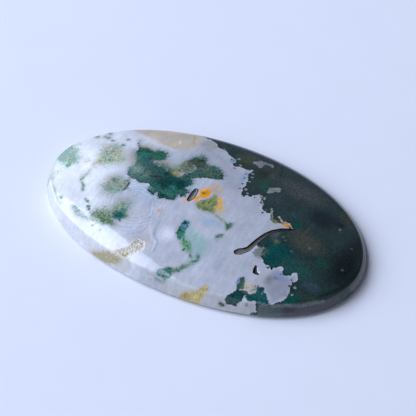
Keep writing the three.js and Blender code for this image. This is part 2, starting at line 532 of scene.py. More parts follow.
MOSS = (40, 84, 82)
MOSS_SHAPES = [
    # the big patch, its haze towards the far side, and its colours
    area((132, 144, 140), [
        (-8.2, 2.8), (-7, 3.2), (-6, 2.6), (-5.2, 3), (-4.9, 3.8), (-4.4, 3.6), (-4.2, 2.4), (-4.4, 1.2),
        (-6, 1.7), (-7.8, 2),
    ], soft=(0.6, 0.7), grit=0.12),
    area((148, 154, 158), [
        (-11.2, 3.1), (-10.4, 3), (-9.9, 2), (-9.8, 0.6), (-10.3, 0.8), (-10.8, 1.6),
    ], soft=(0.5, 0.6), grit=0.1),
    area((44, 92, 90), [
        (-11.4, 5.1), (-10.8, 4.3), (-10.2, 4.5), (-9.5, 4.4), (-9, 4.2), (-8.6, 4.5), (-8, 4.6),
        (-7.5, 4.4), (-7.1, 3.8), (-7.1, 3.2), (-7.7, 2.7), (-8.2, 2.5), (-7.7, 2.2), (-7, 2.1),
        (-6.3, 1.9), (-5.7, 2), (-5.2, 1.8), (-4.8, 1.4), (-4.4, 1.3), (-4.1, 1.8), (-3.9, 2.5),
        (-3.4, 2.9), (-3.3, 3.6), (-3.8, 3.9), (-4.4, 3.6), (-4.9, 3.6), (-4.8, 4.5), (-4.5, 5.3),
        (-4, 5.9), (-3.6, 6), (-3.2, 5.6), (-2.8, 5), (-2.3, 4.8), (-1.6, 4.9), (-0.9, 4.8), (-0.5, 4.5),
        (-0.2, 4), (-0.02, 3.4), (-0.3, 3.1), (-1, 2.95), (-1.5, 2.75), (-2, 2.5), (-2.5, 2.1),
        (-2.8, 1.8), (-2.6, 1.3), (-2.4, 0.95), (-2.7, 0.5), (-2.85, 0.2), (-2.5, 0), (-2.15, -0.15),
        (-2.1, -0.4), (-2.4, -0.7), (-2.3, -1.0), (-2.7, -1.25), (-2.95, -1.0), (-3, -1.6), (-3.15, -2),
        (-3.6, -2.1), (-4.2, -2.25), (-4.85, -2.45), (-5.05, -2.2), (-5.3, -1.8), (-5.5, -2.2),
        (-5.9, -2.25), (-6.35, -2), (-6.55, -1.7), (-6.45, -1.2), (-6.9, -1), (-7.4, -1.15), (-8, -1.3),
        (-8.4, -1.05), (-8.9, -1.15), (-9.3, -0.95), (-9.7, -0.75), (-9.9, -0.3), (-10, 0.3),
        (-9.95, 0.9), (-9.9, 1.5), (-10.3, 2.2), (-10.7, 2.9), (-10.7, 3.6), (-11.1, 4.2),
    ], soft=(0.08, 0.5), ink=1.0, grit=0.36),
    area((104, 120, 108), [
        (-5.2, 3.2), (-4.9, 4.4), (-4.3, 4.3), (-3.6, 3.7), (-3.5, 2.8), (-4.2, 2.2), (-4.9, 2.4),
    ], soft=0.3, grit=0.3),
    *tints([
        ((14, 62, 68), -5.2, 0.2, 1.7, 1.0, 0.6),
        ((30, 78, 78), -6.8, 1.2, 1.6, 1.0, 0.6),
        ((62, 80, 70), -3.4, 4.4, 1.0, 0.9, 0.5),
        ((70, 96, 88), -1.6, 3.9, 1.2, 0.7, 0.4),
        ((74, 100, 86), -10.9, 4.2, 0.25, 0.7, 0.2),
        ((150, 156, 150), -9.9, 4.5, 1.0, 0.35, 0.25),
        ((30, 62, 54), -10.65, 3.4, 0.15, 0.4, 0.12),
        ((34, 86, 68), -9.7, 3.8, 0.5, 0.4, 0.25),
        ((16, 62, 48), -9.55, 3.6, 0.2, 0.2, 0.12),
        ((40, 104, 104), -9.6, 2.8, 0.6, 0.6, 0.35),
        ((20, 82, 86), -8.9, 2.1, 0.5, 0.6, 0.3),
        ((26, 104, 74), -8.0, 3.6, 0.5, 0.5, 0.25),
        ((92, 128, 124), -9.1, 0.4, 0.7, 0.6, 0.35),
        ((66, 104, 96), -7.8, 0.1, 0.5, 0.6, 0.3),
        ((22, 72, 76), -7.4, 1.4, 0.7, 0.4, 0.3),
        ((14, 50, 42), -5.85, 1.1, 0.25, 0.3, 0.15),
        ((84, 94, 66), -4.9, 1.55, 0.4, 0.2, 0.2),
        ((12, 68, 74), -4.3, 0.6, 0.5, 0.5, 0.3),
        ((4, 58, 64), -3.5, 0.4, 0.5, 0.6, 0.25),
        ((14, 60, 62), -5, -0.3, 0.5, 0.5, 0.25),
        ((40, 102, 106), -4.2, -0.4, 0.4, 0.3, 0.2),
        ((60, 110, 112), -6, -1.6, 0.35, 0.25, 0.15),
        ((52, 112, 110), -4.3, -1.5, 0.4, 0.3, 0.2),
        ((12, 54, 54), -4.6, -1.9, 0.5, 0.2, 0.15),
        ((64, 106, 102), -2.9, 2.4, 0.5, 0.4, 0.3),
        ((76, 100, 96), -2.2, 3.6, 0.6, 0.6, 0.4),
        ((54, 92, 80), -1.2, 4.2, 0.6, 0.4, 0.3),
        ((98, 122, 108), -3.9, 5.6, 0.35, 0.35, 0.25),
        ((26, 40, 38), -3.6, 5.05, 0.4, 0.16, 0.12),
        ((68, 86, 70), -4.55, 4.3, 0.15, 0.4, 0.12),
    ]),
    strand((20, 26, 18), 0.12, [
        (-7.2, 0.1), (-6.8, 0.2), (-6.4, 0.45), (-6.05, 0.4),
    ], soft=0.12, cover=False),
    spot((52, 34, 34), -6.4, 0.45, 0.2, 0.1, soft=0.06, cover=False),
    *lines(0.06, 0.08, [
        ((18, 28, 32), [(-6.45, -1.75), (-6.2, -2.1), (-5.85, -2.22), (-5.5, -2.2)]),
        ((18, 28, 32), [(-5, -2.15), (-4.85, -2.42), (-4.5, -2.3)]),
        ((18, 28, 32), [(-4.1, -2.2), (-3.5, -2.05), (-3.15, -1.95)]),
        ((12, 16, 16), [(-2.95, -1.05), (-2.7, -1.2), (-2.5, -0.85), (-2.3, -1.0)]),
        ((12, 18, 18), [(-2.75, -0.1), (-2.45, -0.2), (-2.15, -0.35)]),
        ((20, 30, 34), [(-0.4, 4.1), (-0.2, 3.8), (-0.05, 3.4)]),
        ((46, 64, 58), [(-1.6, 2.78), (-1, 2.98), (-0.3, 3.15)]),
    ]),
    strand((112, 126, 92), 0.08, [(-5.3, 2.5), (-5, 2.35), (-4.7, 2.15)], soft=0.1, grit=0.4),
    # speckled patch near the window's reflection
    area((122, 144, 136), [
        (-8.4, -4.6), (-7.9, -4.3), (-7.3, -4.3), (-7.15, -4.9), (-7.1, -5.5), (-6.7, -5.95),
        (-6.75, -6.25), (-7.2, -6.4), (-7.2, -6.85), (-7.5, -6.75), (-7.9, -6.85), (-7.75, -7.1),
        (-7.45, -7.35), (-7.7, -7.7), (-8.3, -7.6), (-8.8, -7.9), (-9.5, -7.8), (-10.6, -7.9),
        (-10.7, -7), (-10.3, -6.3), (-9.6, -6.1), (-8.8, -5.7), (-8.6, -5),
    ], soft=(0.2, 0.7), grit=0.35),
    *tints([
        ((128, 156, 156), -7.6, -4.8, 0.4, 0.3, 0.2),
        ((74, 120, 114), -7.5, -5.5, 0.35, 0.35, 0.2),
        ((52, 80, 66), -8.15, -5.85, 0.2, 0.1, 0.1),
        ((16, 88, 90), -7.6, -6.2, 0.65, 0.5, 0.3),
        ((18, 96, 92), -8.05, -6.5, 0.2, 0.3, 0.15),
        ((24, 88, 80), -7.85, -7.0, 0.18, 0.2, 0.12),
        ((96, 128, 110), -7.7, -7.45, 0.25, 0.2, 0.1),
        ((98, 132, 106), -8.9, -7.1, 0.8, 0.4, 0.25),
    ]),
    *marks((60, 86, 62), 0.11, [
        (-9.6, -6.6), (-9.1, -6.8), (-9.4, -7.25), (-8.9, -7.5), (-8.3, -7.4), (-10.1, -6.8),
        (-9.75, -6.95), (-8.65, -6.75), (-9.15, -7.35), (-8.4, -6.2),
    ]),
    *marks((22, 44, 46), 0.09, [(-7.25, -6.8), (-7.35, -6.65)]),
    *marks((138, 146, 150), 0.06, [(-9.7, -8.25), (-9.8, -8.4), (-9.6, -8.05), (-8.7, -8.6)]),
    area((134, 156, 156), [
        (-13.25, -6.95), (-12.9, -6.7), (-12.3, -7.0), (-11.8, -7.35), (-11.2, -7.55), (-10.4, -7.6),
        (-10.4, -7.95), (-11.9, -7.95), (-12.5, -7.7), (-13, -7.25),
    ], soft=0.2, dense=0.85, grit=0.2),
    *marks((92, 118, 114), 0.11, [
        (-12.85, -6.95), (-12.45, -7.5), (-12.2, -7.2), (-12.6, -7.15), (-11.85, -5.8), (-11.3, -6.4),
        (-11.2, -6.7), (-11.5, -6.4), (-15.85, -6.05), (-14.95, -6.4),
    ]),
    strand((126, 146, 150), 0.07, [(-12.3, -5.6), (-12, -5.8), (-11.7, -5.85)], soft=0.1),
    strand((150, 168, 174), 0.05, [
        (-15.3, -6.2), (-15.1, -6.05), (-14.9, -6.2), (-15.1, -6.4),
    ], soft=0.06),
    strand((154, 170, 168), 0.07, [
        (-16.7, -5.2), (-16.2, -5.7), (-15.7, -6.3), (-15.1, -6.75), (-14.6, -7.1),
    ], soft=0.12),
    # ring patch
    area((136, 152, 150), [
        (-11.6, -2.8), (-11.4, -2.1), (-11, -1.6), (-10.4, -1.3), (-9.9, -1.4), (-9.5, -1.4),
        (-9.2, -1.2), (-8.8, -1.8), (-8.7, -2.6), (-9, -3.2), (-9.6, -3.65), (-10.2, -3.9), (-10.9, -3.8),
        (-11.4, -3.4), (-11.6, -3),
    ], soft=0.5, grit=0.12),
    *tints([
        ((172, 174, 186), -11.4, -2.6, 0.3, 0.6, 0.25),
        ((112, 132, 124), -10.6, -2.0, 0.45, 0.35, 0.2),
        ((106, 152, 152), -9.6, -3.3, 0.4, 0.3, 0.2),
    ]),
    strand((44, 84, 84), 0.13, [
        (-9.2, -1.5), (-8.85, -1.9), (-8.85, -2.5), (-8.95, -3),
    ], soft=0.08, ink=0.9),
    *marks((60, 88, 92), 0.09, [(-9.4, -1.7), (-9.3, -2.1), (-9.5, -2.6)]),
    # olive patch and its lobes
    area((150, 166, 156), [
        (-14.5, 2.4), (-14, 3), (-13.5, 3.3), (-13, 3.2), (-12.5, 2.9), (-12, 2.2), (-11.6, 1.8),
        (-11.2, 1.6), (-10.9, 1.2), (-11.1, 0.7), (-11.8, 0.4), (-12.3, 0), (-12.8, -0.5), (-13.6, -0.4),
        (-13.9, -1), (-14.1, -0.4), (-14, 0.2), (-14.3, 1),
    ], soft=(0.55, 0.8), grit=0.2),
    *tints([
        ((152, 156, 138), -13.9, 0.2, 0.3, 0.9, 0.3),
        ((124, 152, 134), -13.4, 1.0, 0.3, 0.6, 0.2),
        ((112, 148, 128), -12.7, 0.5, 0.5, 0.25, 0.2),
        ((104, 142, 134), -11.35, 1.35, 0.25, 0.2, 0.12),
        ((188, 194, 202), -13.6, 2.4, 0.15, 0.5, 0.12),
    ]),
    *marks((104, 136, 116), 0.09, [
        (-13.2, 1.6), (-13.5, 1.3), (-13.1, 2.0), (-13.7, 1.8), (-12.4, 0.7), (-12.9, 1.2),
    ]),
    spot((186, 190, 196), -15, -0.5, 0.3, 0.25, soft=0.2, dense=0.8),
    strand((156, 172, 172), 0.1, [(-14.05, -1.6), (-13.95, -2.2), (-14.1, -2.9)], soft=0.2),
    spot((128, 160, 152), -14.1, -3.3, 0.18, 0.28, soft=0.15),
    strand((120, 144, 136), 0.11, [
        (-14.1, -3.0), (-13.9, -3.6), (-13.4, -4.15), (-13.15, -4.6),
    ], soft=0.15),
    # left end
    area((122, 158, 154), [
        (-18.8, 1.2), (-18, 1.4), (-17.3, 1), (-16.8, 0.5), (-16.3, 0.1), (-16, -0.4), (-16.1, -1.2),
        (-16.6, -1.6), (-17.2, -1.7), (-17.8, -1.5), (-18.5, -1.4), (-18.9, -1), (-19.4, -0.5),
        (-20.6, -0.4), (-20.6, 2.5),
    ], soft=(0.5, 0.6), grit=0.08),
    *tints([
        ((168, 196, 194), -16.3, 0.2, 0.5, 0.6, 0.4),
        ((130, 166, 146), -16.8, -1.0, 0.5, 0.4, 0.3),
        ((140, 172, 162), -17.4, 0.6, 0.25, 0.5, 0.25),
    ]),
    spot((76, 148, 126), -16.65, -1.75, 0.26, 0.42, soft=0.12, grit=0.2),
    spot((184, 196, 198), -17.5, 1.7, 0.3, 0.3, soft=0.25, dense=0.8),
    spot((184, 202, 200), -17.35, -3.2, 0.25, 0.3, soft=0.2, dense=0.8),
    *marks((138, 154, 162), 0.25, [(-15.1, 4.9), (-15.3, 4.2), (-14.9, 4.2), (-16.2, 3.75)], soft=0.25),
    *marks((112, 128, 140), 0.18, [(-14.15, 3.85), (-12.7, 4.75), (-12.65, 3.5)], soft=0.15),
    strand((176, 186, 206), 0.06, [(-13, 5.0), (-13.3, 5.2), (-13.6, 5.5)], soft=0.12),
    # blue-teal patch in the middle of the near side
    area((58, 122, 116), [
        (-0.85, -4.2), (-0.75, -3.85), (-0.4, -3.75), (-0.1, -3.9), (-0.05, -4.3), (0, -4.9), (0.1, -5.5),
        (0.25, -5.9), (0.2, -6.3), (-0.15, -6.4), (-0.5, -6.1), (-0.85, -5.6), (-0.9, -5.1),
        (-0.75, -4.8),
    ], soft=(0.12, 0.15), ink=0.3, grit=0.35),
    strand((58, 122, 116), 0.38, [
        (-0.45, -4.15), (-0.45, -5), (-0.3, -5.8),
    ], soft=0.12, ink=0.3, grit=0.35),
    area((108, 156, 140), [
        (0.1, -5.7), (0.6, -6), (1.1, -6.1), (1.4, -6.5), (1.7, -7.1), (1.5, -7.3), (0.9, -7),
        (0.3, -6.6), (0, -6.4),
    ], soft=0.2, dense=0.8, grit=0.25),
    *lines(0.05, 0.1, [
        ((36, 116, 92), [(0.75, -6.1), (1.1, -6.6), (1.35, -7.0)]),
        ((44, 122, 104), [(0.3, -6.0), (0.6, -6.5), (0.95, -6.85)]),
        ((70, 104, 88), [(1.1, -6.1), (1.5, -6.7), (1.9, -7.5), (2.2, -7.8)]),
    ]),
    *tints([
        ((112, 140, 136), -0.4, -3.8, 0.4, 0.15, 0.12),
        ((12, 68, 96), -0.6, -4.2, 0.28, 0.22, 0.12),
        ((20, 112, 128), -0.15, -4.2, 0.2, 0.3, 0.12),
        ((24, 88, 136), -0.4, -4.7, 0.4, 0.2, 0.12),
        ((54, 84, 60), -0.75, -5.4, 0.15, 0.35, 0.1),
        ((96, 144, 118), 0.7, -6.4, 0.4, 0.25, 0.15),
    ]),
    *marks((150, 192, 214), 0.07, [(-0.35, -4.45), (-0.58, -4.62), (-0.3, -4.65)]),
    *marks((60, 80, 70), 0.07, [
        (1.3, -6.8), (-0.8, -5.7), (0.9, -7.25), (1.0, -7.1), (-0.7, -5.15), (0.2, -6.6),
    ]),
    # chain down to the near edge, and the patch that runs over it
    strand((84, 126, 118), 0.17, [
        (2.75, -7.3), (2.9, -7.65), (2.55, -8.1),
    ], soft=0.15, dense=0.85, grit=0.35),
    strand((118, 150, 146), 0.2, [(2.5, -8.2), (2.2, -8.7), (1.9, -9.0)], soft=0.2, dense=0.8, grit=0.25),
    strand((92, 134, 120), 0.22, [
        (1.9, -9.0), (1.5, -9.5), (1.1, -9.8), (0.7, -10.0),
    ], soft=0.15, dense=0.85, grit=0.35),
    *marks((66, 96, 78), 0.09, [
        (2.7, -7.35), (1.7, -8.9), (2.0, -9.1), (1.65, -9.65), (2.55, -7.95), (1.25, -9.45),
    ]),
    area((70, 122, 114), [
        (-0.6, -10.5), (-0.4, -10.2), (0.2, -9.95), (0.4, -9.7), (0.8, -9.6), (1, -9.9), (1.15, -10.1),
        (1.1, -10.6), (0.8, -10.85), (0.2, -10.95), (-0.3, -11), (-0.5, -10.8),
    ], soft=(0.1, 0.12), grit=0.3),
    strand((96, 128, 122), 0.07, [
        (0.7, -10.9), (0.55, -11.3), (0.1, -11.5), (-0.4, -11.4),
    ], soft=0.15, dense=0.8),
    *tints([
        ((34, 78, 66), 0.2, -10.1, 0.6, 0.14, 0.12),
        ((40, 74, 62), 0.65, -9.75, 0.3, 0.14, 0.1),
        ((62, 122, 112), -0.5, -10.8, 0.08, 0.4, 0.08),
        ((94, 132, 124), -0.25, -11.6, 0.14, 0.12, 0.08),
    ]),
    strand((156, 172, 176), 0.12, [(-2, -12.2), (-1.5, -11.8), (-0.9, -11.5)], soft=0.15, dense=0.8),
    # thread, triangle and spot right of the orange
    strand((130, 146, 134), 0.06, [
        (1.3, -1.5), (1.7, -1.75), (2.2, -1.85), (2.7, -2), (3.3, -2.15),
    ], soft=0.1, grit=0.5),
    area((88, 126, 116), [
        (3.3, -2.15), (3.6, -2.2), (3.9, -1.95), (4.15, -1.85), (4.25, -2.4), (4.1, -2.7), (4, -3.1),
        (3.7, -2.8), (3.5, -2.5),
    ], soft=0.1, dense=0.9, grit=0.5),
    area((104, 126, 120), [
        (3.3, -4.1), (3.6, -3.75), (3.95, -3.7), (4, -4.05), (3.7, -4.3), (3.35, -4.35),
    ], soft=0.1, dense=0.9, grit=0.4),
    *marks((76, 100, 72), 0.08, [(3.9, -2.0), (2.1, -1.85), (4.1, -2.4), (3.85, -2.6), (1.55, -1.6)]),
    # teal lace at the near edge of the dark end, and its drops on the wall
    area((16, 78, 82), [
        (8.05, -7.5), (8.35, -7.2), (8.65, -7.6), (8.8, -8), (8.95, -8.3), (8.8, -8.5), (8.4, -8.55),
        (8.2, -8.6), (8.15, -8.2), (8.25, -7.9),
    ], soft=0.1, ink=0.5, grit=0.3),
    area((14, 66, 70), [
        (8.35, -8.85), (8.8, -8.65), (9.25, -8.55), (9.7, -8.65), (9.4, -8.85), (9.25, -9.2),
        (9.25, -9.6), (9.1, -10.2), (9, -10.5), (8.3, -10.75), (7.9, -10.7), (7.45, -10.4), (7.6, -10),
        (7.95, -9.5), (8.1, -9.1),
    ], soft=0.07, ink=1.0, grit=0.35),
    area((22, 84, 90), [
        (9.4, -9.05), (9.6, -8.75), (10, -8.45), (10.3, -8.15), (10.1, -7.7), (10.25, -7.5), (10.6, -7.2),
        (10.9, -7.4), (11.1, -7.8), (11.6, -8.0), (12, -8.4), (12.4, -8.7), (12.6, -9.6), (11.4, -10),
        (10.9, -9.5), (10.7, -9.1), (10.2, -9.3), (9.8, -9.35),
    ], soft=0.07, ink=0.8, grit=0.3),
    *tints([
        ((20, 84, 100), 10.5, -7.7, 0.3, 0.35, 0.12),
        ((8, 72, 76), 10.3, -8.9, 0.5, 0.2, 0.15),
        ((110, 132, 150), 10.9, -7.8, 0.08, 0.25, 0.08),
        ((60, 90, 98), 11.6, -9.4, 0.6, 0.4, 0.3),
    ]),
    *marks((110, 122, 116), 0.12, [
        (9.5, -7.9), (9.9, -7.6), (9.75, -8.15), (9.2, -8.1), (10.0, -7.95),
    ], soft=0.12),
    *marks((50, 76, 84), 0.09, [(10.15, -7.45), (10.0, -9.9), (9.95, -9.8), (8.5, -8.62), (8.35, -8.7)]),
    area((52, 70, 60), [
        (7.1, -10.9), (7.4, -10.8), (7.9, -11), (7.7, -11.2), (7.2, -11.3),
    ], soft=0.1, grit=0.4),
    area((30, 46, 52), [
        (10.75, -10.5), (11.1, -10.2), (11.3, -10.5), (11, -10.75), (10.8, -10.8),
    ], soft=0.08, ink=0.8),
]

DARK = (38, 60, 64)
DARK_SHAPES = [
    # the dark end, and the lane of pale stone that reaches into it beside the fissure
    area(DARK, [
        (-6.4, 9.8), (-5, 9.7), (-4.2, 9.5), (-3.7, 9.2), (-3.3, 8.7), (-3, 8.5), (-2.8, 8.6),
        (-2.3, 8.5), (-1.9, 8.2), (-1.5, 7.8), (-1.1, 7.65), (-0.7, 7.7), (-0.4, 7.5), (-0.2, 7.1),
        (-0.4, 6.9), (-0.45, 6.5), (0, 6.2), (0.3, 6.25), (0.4, 6.5), (0.7, 6.4), (1.3, 6.5), (1.7, 6.6),
        (1.8, 7), (2.1, 6.85), (1.95, 6.3), (1.9, 5.8), (2.2, 5.5), (2.3, 5.1), (2.5, 4.7), (2.35, 4.5),
        (2.6, 4.2), (2.7, 3.6), (2.6, 3.2), (2.8, 2.6), (2.95, 2.25), (3.5, 2.5), (4, 2.55), (4.2, 2.9),
        (4.6, 3.3), (4.9, 3.1), (5.05, 2.95), (5.2, 2.4), (5.5, 2.2), (5.8, 1.8), (6.3, 1.4), (6.6, 1.35),
        (6.9, 1.7), (7.2, 1.2), (7.5, 0.7), (7.9, 0.55), (8.3, 0.8), (8.6, 1), (8.8, 0.75), (9.5, 0.75),
        (9.9, 1), (9.1, 0.25), (8.35, -0.6), (7.9, -1.45), (7.65, -2.4), (7.7, -3), (7.9, -3.2),
        (8.3, -3.5), (8.5, -4.1), (9, -4.4), (9.3, -4.5), (9.5, -4.85), (9.9, -4.75), (10.3, -4.9),
        (10.55, -5), (10.65, -4.7), (10.9, -4.5), (11.2, -4.15), (11.5, -4.3), (11.6, -4.7),
        (11.9, -4.85), (12.1, -5), (12.3, -4.75), (12.6, -4.5), (12.7, -4.15), (13.1, -4.05),
        (13.4, -4.5), (13.5, -4.9), (13.2, -5.2), (13.1, -5.6), (13.3, -6), (13.3, -6.3), (13.45, -6.6),
        (13.4, -7.1), (13.2, -7.5), (12.9, -7.9), (12.4, -8.5), (12.2, -8.75), (11.8, -8.95),
        (11.2, -9.15), *on_wall([(10.9, 0.05), (10.6, 0.25), (10.85, 0.55), (10.5, 0.8), (10.9, 1.1),
                                 (10.6, 1.5), (11.1, 2.5)]), (25, -12), (25, 16), (-6.4, 16),
    ], soft=0.08, ink=0.9, grit=0.26),
    *tints([
        ((24, 56, 60), -1.4, 9.0, 1.0, 0.7, 0.4),
        ((60, 68, 58), 0.6, 8.5, 1.3, 1.0, 0.5),
        ((38, 62, 42), 0.8, 7.2, 0.7, 0.45, 0.35),
        ((48, 55, 60), 3.3, 8.4, 0.9, 1.0, 0.5),
        ((30, 46, 38), 3.4, 6.9, 0.8, 0.8, 0.5),
        ((58, 68, 74), 4.3, 7.3, 0.4, 0.8, 0.3),
        ((30, 74, 58), 4.3, 5.9, 0.5, 0.8, 0.4),
        ((28, 70, 76), 4.6, 4.8, 0.5, 0.4, 0.25),
        ((50, 66, 76), 6.3, 4.1, 0.7, 0.9, 0.5),
        # painted reflection: the grey haze where the far side of the dark end mirrors the room, partly its
        # own grey
        ((66, 74, 80), 8.2, 7.0, 2.4, 1.3, 1.0),
        ((36, 74, 88), 9.2, 3.0, 0.45, 0.5, 0.3),
        ((8, 70, 64), 10.1, 1.8, 0.45, 0.55, 0.25),
        ((22, 36, 48), 12.0, 4.4, 1.5, 1.4, 0.8),
        ((54, 66, 76), 11.5, 2.3, 0.25, 0.8, 0.2),
        ((18, 25, 30), 13.8, 5.0, 0.5, 0.35, 0.3),
        # painted reflection: grey-brown haze at the far right of the dark end, partly its own colour
        ((58, 60, 54), 13.9, 6.6, 0.8, 0.6, 0.5),
        ((28, 37, 42), 16.8, 3.4, 1.1, 1.6, 0.9),
        ((18, 30, 34), 17.0, 0, 1.5, 3.0, 1.0),
        ((68, 74, 72), 12.0, 0.2, 1.8, 1.2, 0.8),
        ((30, 70, 66), 14.6, -1.5, 0.7, 0.5, 0.4),
        ((76, 86, 94), 8.8, -0.8, 0.4, 0.7, 0.25),
        ((106, 112, 84), 9.35, -1.6, 0.3, 0.28, 0.15),
        ((92, 102, 70), 9.3, -2.2, 0.22, 0.2, 0.12),
        ((4, 74, 80), 10.2, -3.2, 1.7, 1.7, 0.8),
        ((6, 68, 74), 9.9, -3.6, 0.6, 0.6, 0.3),
        ((66, 92, 82), 8.7, -3.3, 0.5, 0.3, 0.25),
        ((34, 76, 78), 12.6, -3.6, 1.8, 1.1, 0.8),
        ((20, 84, 86), 12.2, -4.4, 0.35, 0.3, 0.2),
        ((52, 76, 90), 15.0, -4.5, 0.8, 0.6, 0.5),
        ((38, 62, 46), 15.5, -6.0, 0.5, 0.4, 0.3),
        ((12, 74, 74), 13.9, -7.2, 0.8, 0.9, 0.4),
    ]),
    # the wall below the dark end and its paler stretch at the very end, painted lighter: partly their own
    # colour, partly a painted reflection of the pale floor
    area((72, 92, 102), on_wall([
        (11, 0.25), (13.5, 0.3), (13.5, 2.5), (11, 2.5),
    ]), soft=0.2, cover=False, grit=0.15),
    area((66, 72, 86), on_wall([
        (13.3, 0.3), (16, 0.35), (17.8, 0.4), (17.8, 2.5), (13.3, 2.5),
    ]), soft=0.25, cover=False, grit=0.15),
    area((102, 104, 122), [
        (18.75, -2), (18.85, 0), (18.6, 2), (17.6, 4.5), (19, 5.5), (21, 3), (21, -2),
    ], soft=0.35, cover=False, grit=0.12),
    # painted highlight: a thin light line just below the crease, where its rounding mirrors the light
    strand((112, 122, 134), 0.16, on_wall([
        (11.2, 0.2), (13, 0.2), (15, 0.22), (16.8, 0.25),
    ]), soft=0.16, cover=False),
    *lines(0.06, 0.08, [
        ((34, 42, 20), [(4.2, 9.7), (4.6, 8.9), (4.9, 8.0)]),
        ((14, 16, 20), [(5.1, 2.95), (5.3, 2.4), (5.7, 2.0)]),
        ((12, 14, 16), [(9.2, 1.6), (9.7, 1.45), (10.0, 1.0)]),
        ((76, 74, 80), [(14.3, 5.9), (14.7, 5.6), (14.95, 5.4)]),
        ((12, 24, 26), [(13.3, -5.3), (13.35, -5.8), (13.55, -6.2)]),
    ], cover=False),
    # painted shade: a dark line along the crease round the very end
    strand((18, 24, 28), 0.12, [
        (17.6, 3.6), (18.2, 2), (18.4, 0.3), (18.2, -1.6), (17.55, -3.4), (16.45, -5),
    ], soft=0.25, cover=False),
    # specks along its border and in it
    *marks((44, 62, 62), 0.13, [
        (-0.95, 7.35), (0.15, 5.95), (1.65, 5.75), (1.95, 4.95), (2.25, 3.95), (2.3, 3.1), (3.3, 2.25),
        (4.35, 2.75), (5.3, 1.9), (6.2, 1.15), (13.05, -5.75), (12.7, -8.25), (12.95, -5.05),
        (11.6, -4.95), (10.0, -5.0), (13.2, -6.9),
    ]),
    *marks((10, 18, 22), 0.1, [
        (8.65, -2.65), (10.0, -1.2), (11.2, -2.2), (9.6, -4.75), (10.5, -4.85),
    ], cover=False),
    *marks((104, 122, 124), 0.09, [
        (10.05, -0.9), (9.65, -0.6), (11.3, -1.85), (12.7, -0.3), (16.9, -0.7),
    ], cover=False),
]

ISLAND = (125, 134, 150)
ISLAND_SHAPES = [
    area((120, 130, 145), [
        (1.25, 8.4), (1.35, 8.75), (1.6, 8.95), (1.75, 9.4), (2.2, 9.35), (2.7, 9.4), (3, 9.55),
        (3.3, 9.3), (3.45, 8.9), (3.2, 9), (2.85, 9.05), (2.5, 8.8), (2.45, 8.3), (2.5, 7.7),
        (2.35, 7.55), (2.1, 8), (1.8, 8.05), (1.5, 8.1),
    ], soft=0.1),
    area((126, 138, 150), [
        (5.0, 4.7), (4.95, 5.05), (5.35, 5.4), (5.65, 5.8), (6, 5.95), (6.15, 5.3), (5.85, 4.95),
        (5.6, 4.6), (5.4, 4.25), (5.1, 4.3),
    ], soft=0.1),
    *lines(0.1, 0.08, [
        ((150, 160, 175), [(4.5, 3.4), (4.8, 3.28), (5.1, 3.38), (5.4, 3.1)]),
        ((130, 136, 141), [(5.25, 2.8), (5.5, 2.45), (5.75, 2.2)]),
        ((130, 140, 140), [(6.7, 2.3), (6.9, 1.9), (7.2, 1.5), (7.4, 1.1)]),
        ((165, 166, 166), [(8, 1.65), (8.3, 1.4), (8.6, 1.2), (9, 1.35), (9.6, 1.3), (9.9, 1)]),
    ]),
    spot((72, 84, 76), 6.35, 1.85, 0.16, 0.14, soft=0.08),
    spot((86, 118, 134), 14.1, 4.25, 0.13, 0.2, soft=0.1),
    # flecks of pale stone along the border
    *marks((124, 140, 152), 0.12, [
        (0.5, 6.85), (2.25, 6.2), (2.6, 5.6), (2.75, 4.75), (3.0, 3.3), (3.4, 2.85), (13.65, -5.6),
        (13.75, -6.5), (12.95, -3.95), (6.95, 1.95), (-2.6, 8.75), (-0.25, 7.9),
    ]),
    *marks((66, 84, 92), 0.1, [(16.4, 2.6), (13.6, 0.6), (11.4, 2.75), (11.35, 1.5)]),
    # the painted highlight on the pit's rim, and the haze where the pale stone turns dark beside it
    strand((222, 228, 240), 0.1, [(9.1, -5.65), (9.3, -5.95), (9.5, -5.95)], soft=0.08, grit=0.1),
    spot((118, 128, 138), 8.3, -3.75, 0.45, 0.6, soft=0.45, grit=0.06),
    # painted highlights: two glints in the fissure's bulb
    *marks((196, 202, 210), 0.07, [(6.55, -4.75), (6.9, -4.5)], soft=0.06),
    # tips of pale stone in the wall below the dark end
    area((150, 158, 178), on_wall([(11.95, -0.25), (12.35, -0.2), (12.2, 0.15)]), soft=0.06),
]

# The field of small crystals at the near edge
CRUST = area((186, 184, 182), [
    (-6.2, -10.2), (-5.5, -9.7), (-4.9, -9.3), (-4.6, -8.5), (-4.2, -8.0), (-3.6, -8.0), (-3.1, -8.3),
    (-3.1, -9), (-3.6, -9.4), (-4.0, -9.9), (-4.3, -10.4), (-5.1, -10.6), (-6.2, -10.5),
], soft=0.4, dense=0.7, grit=0.35)

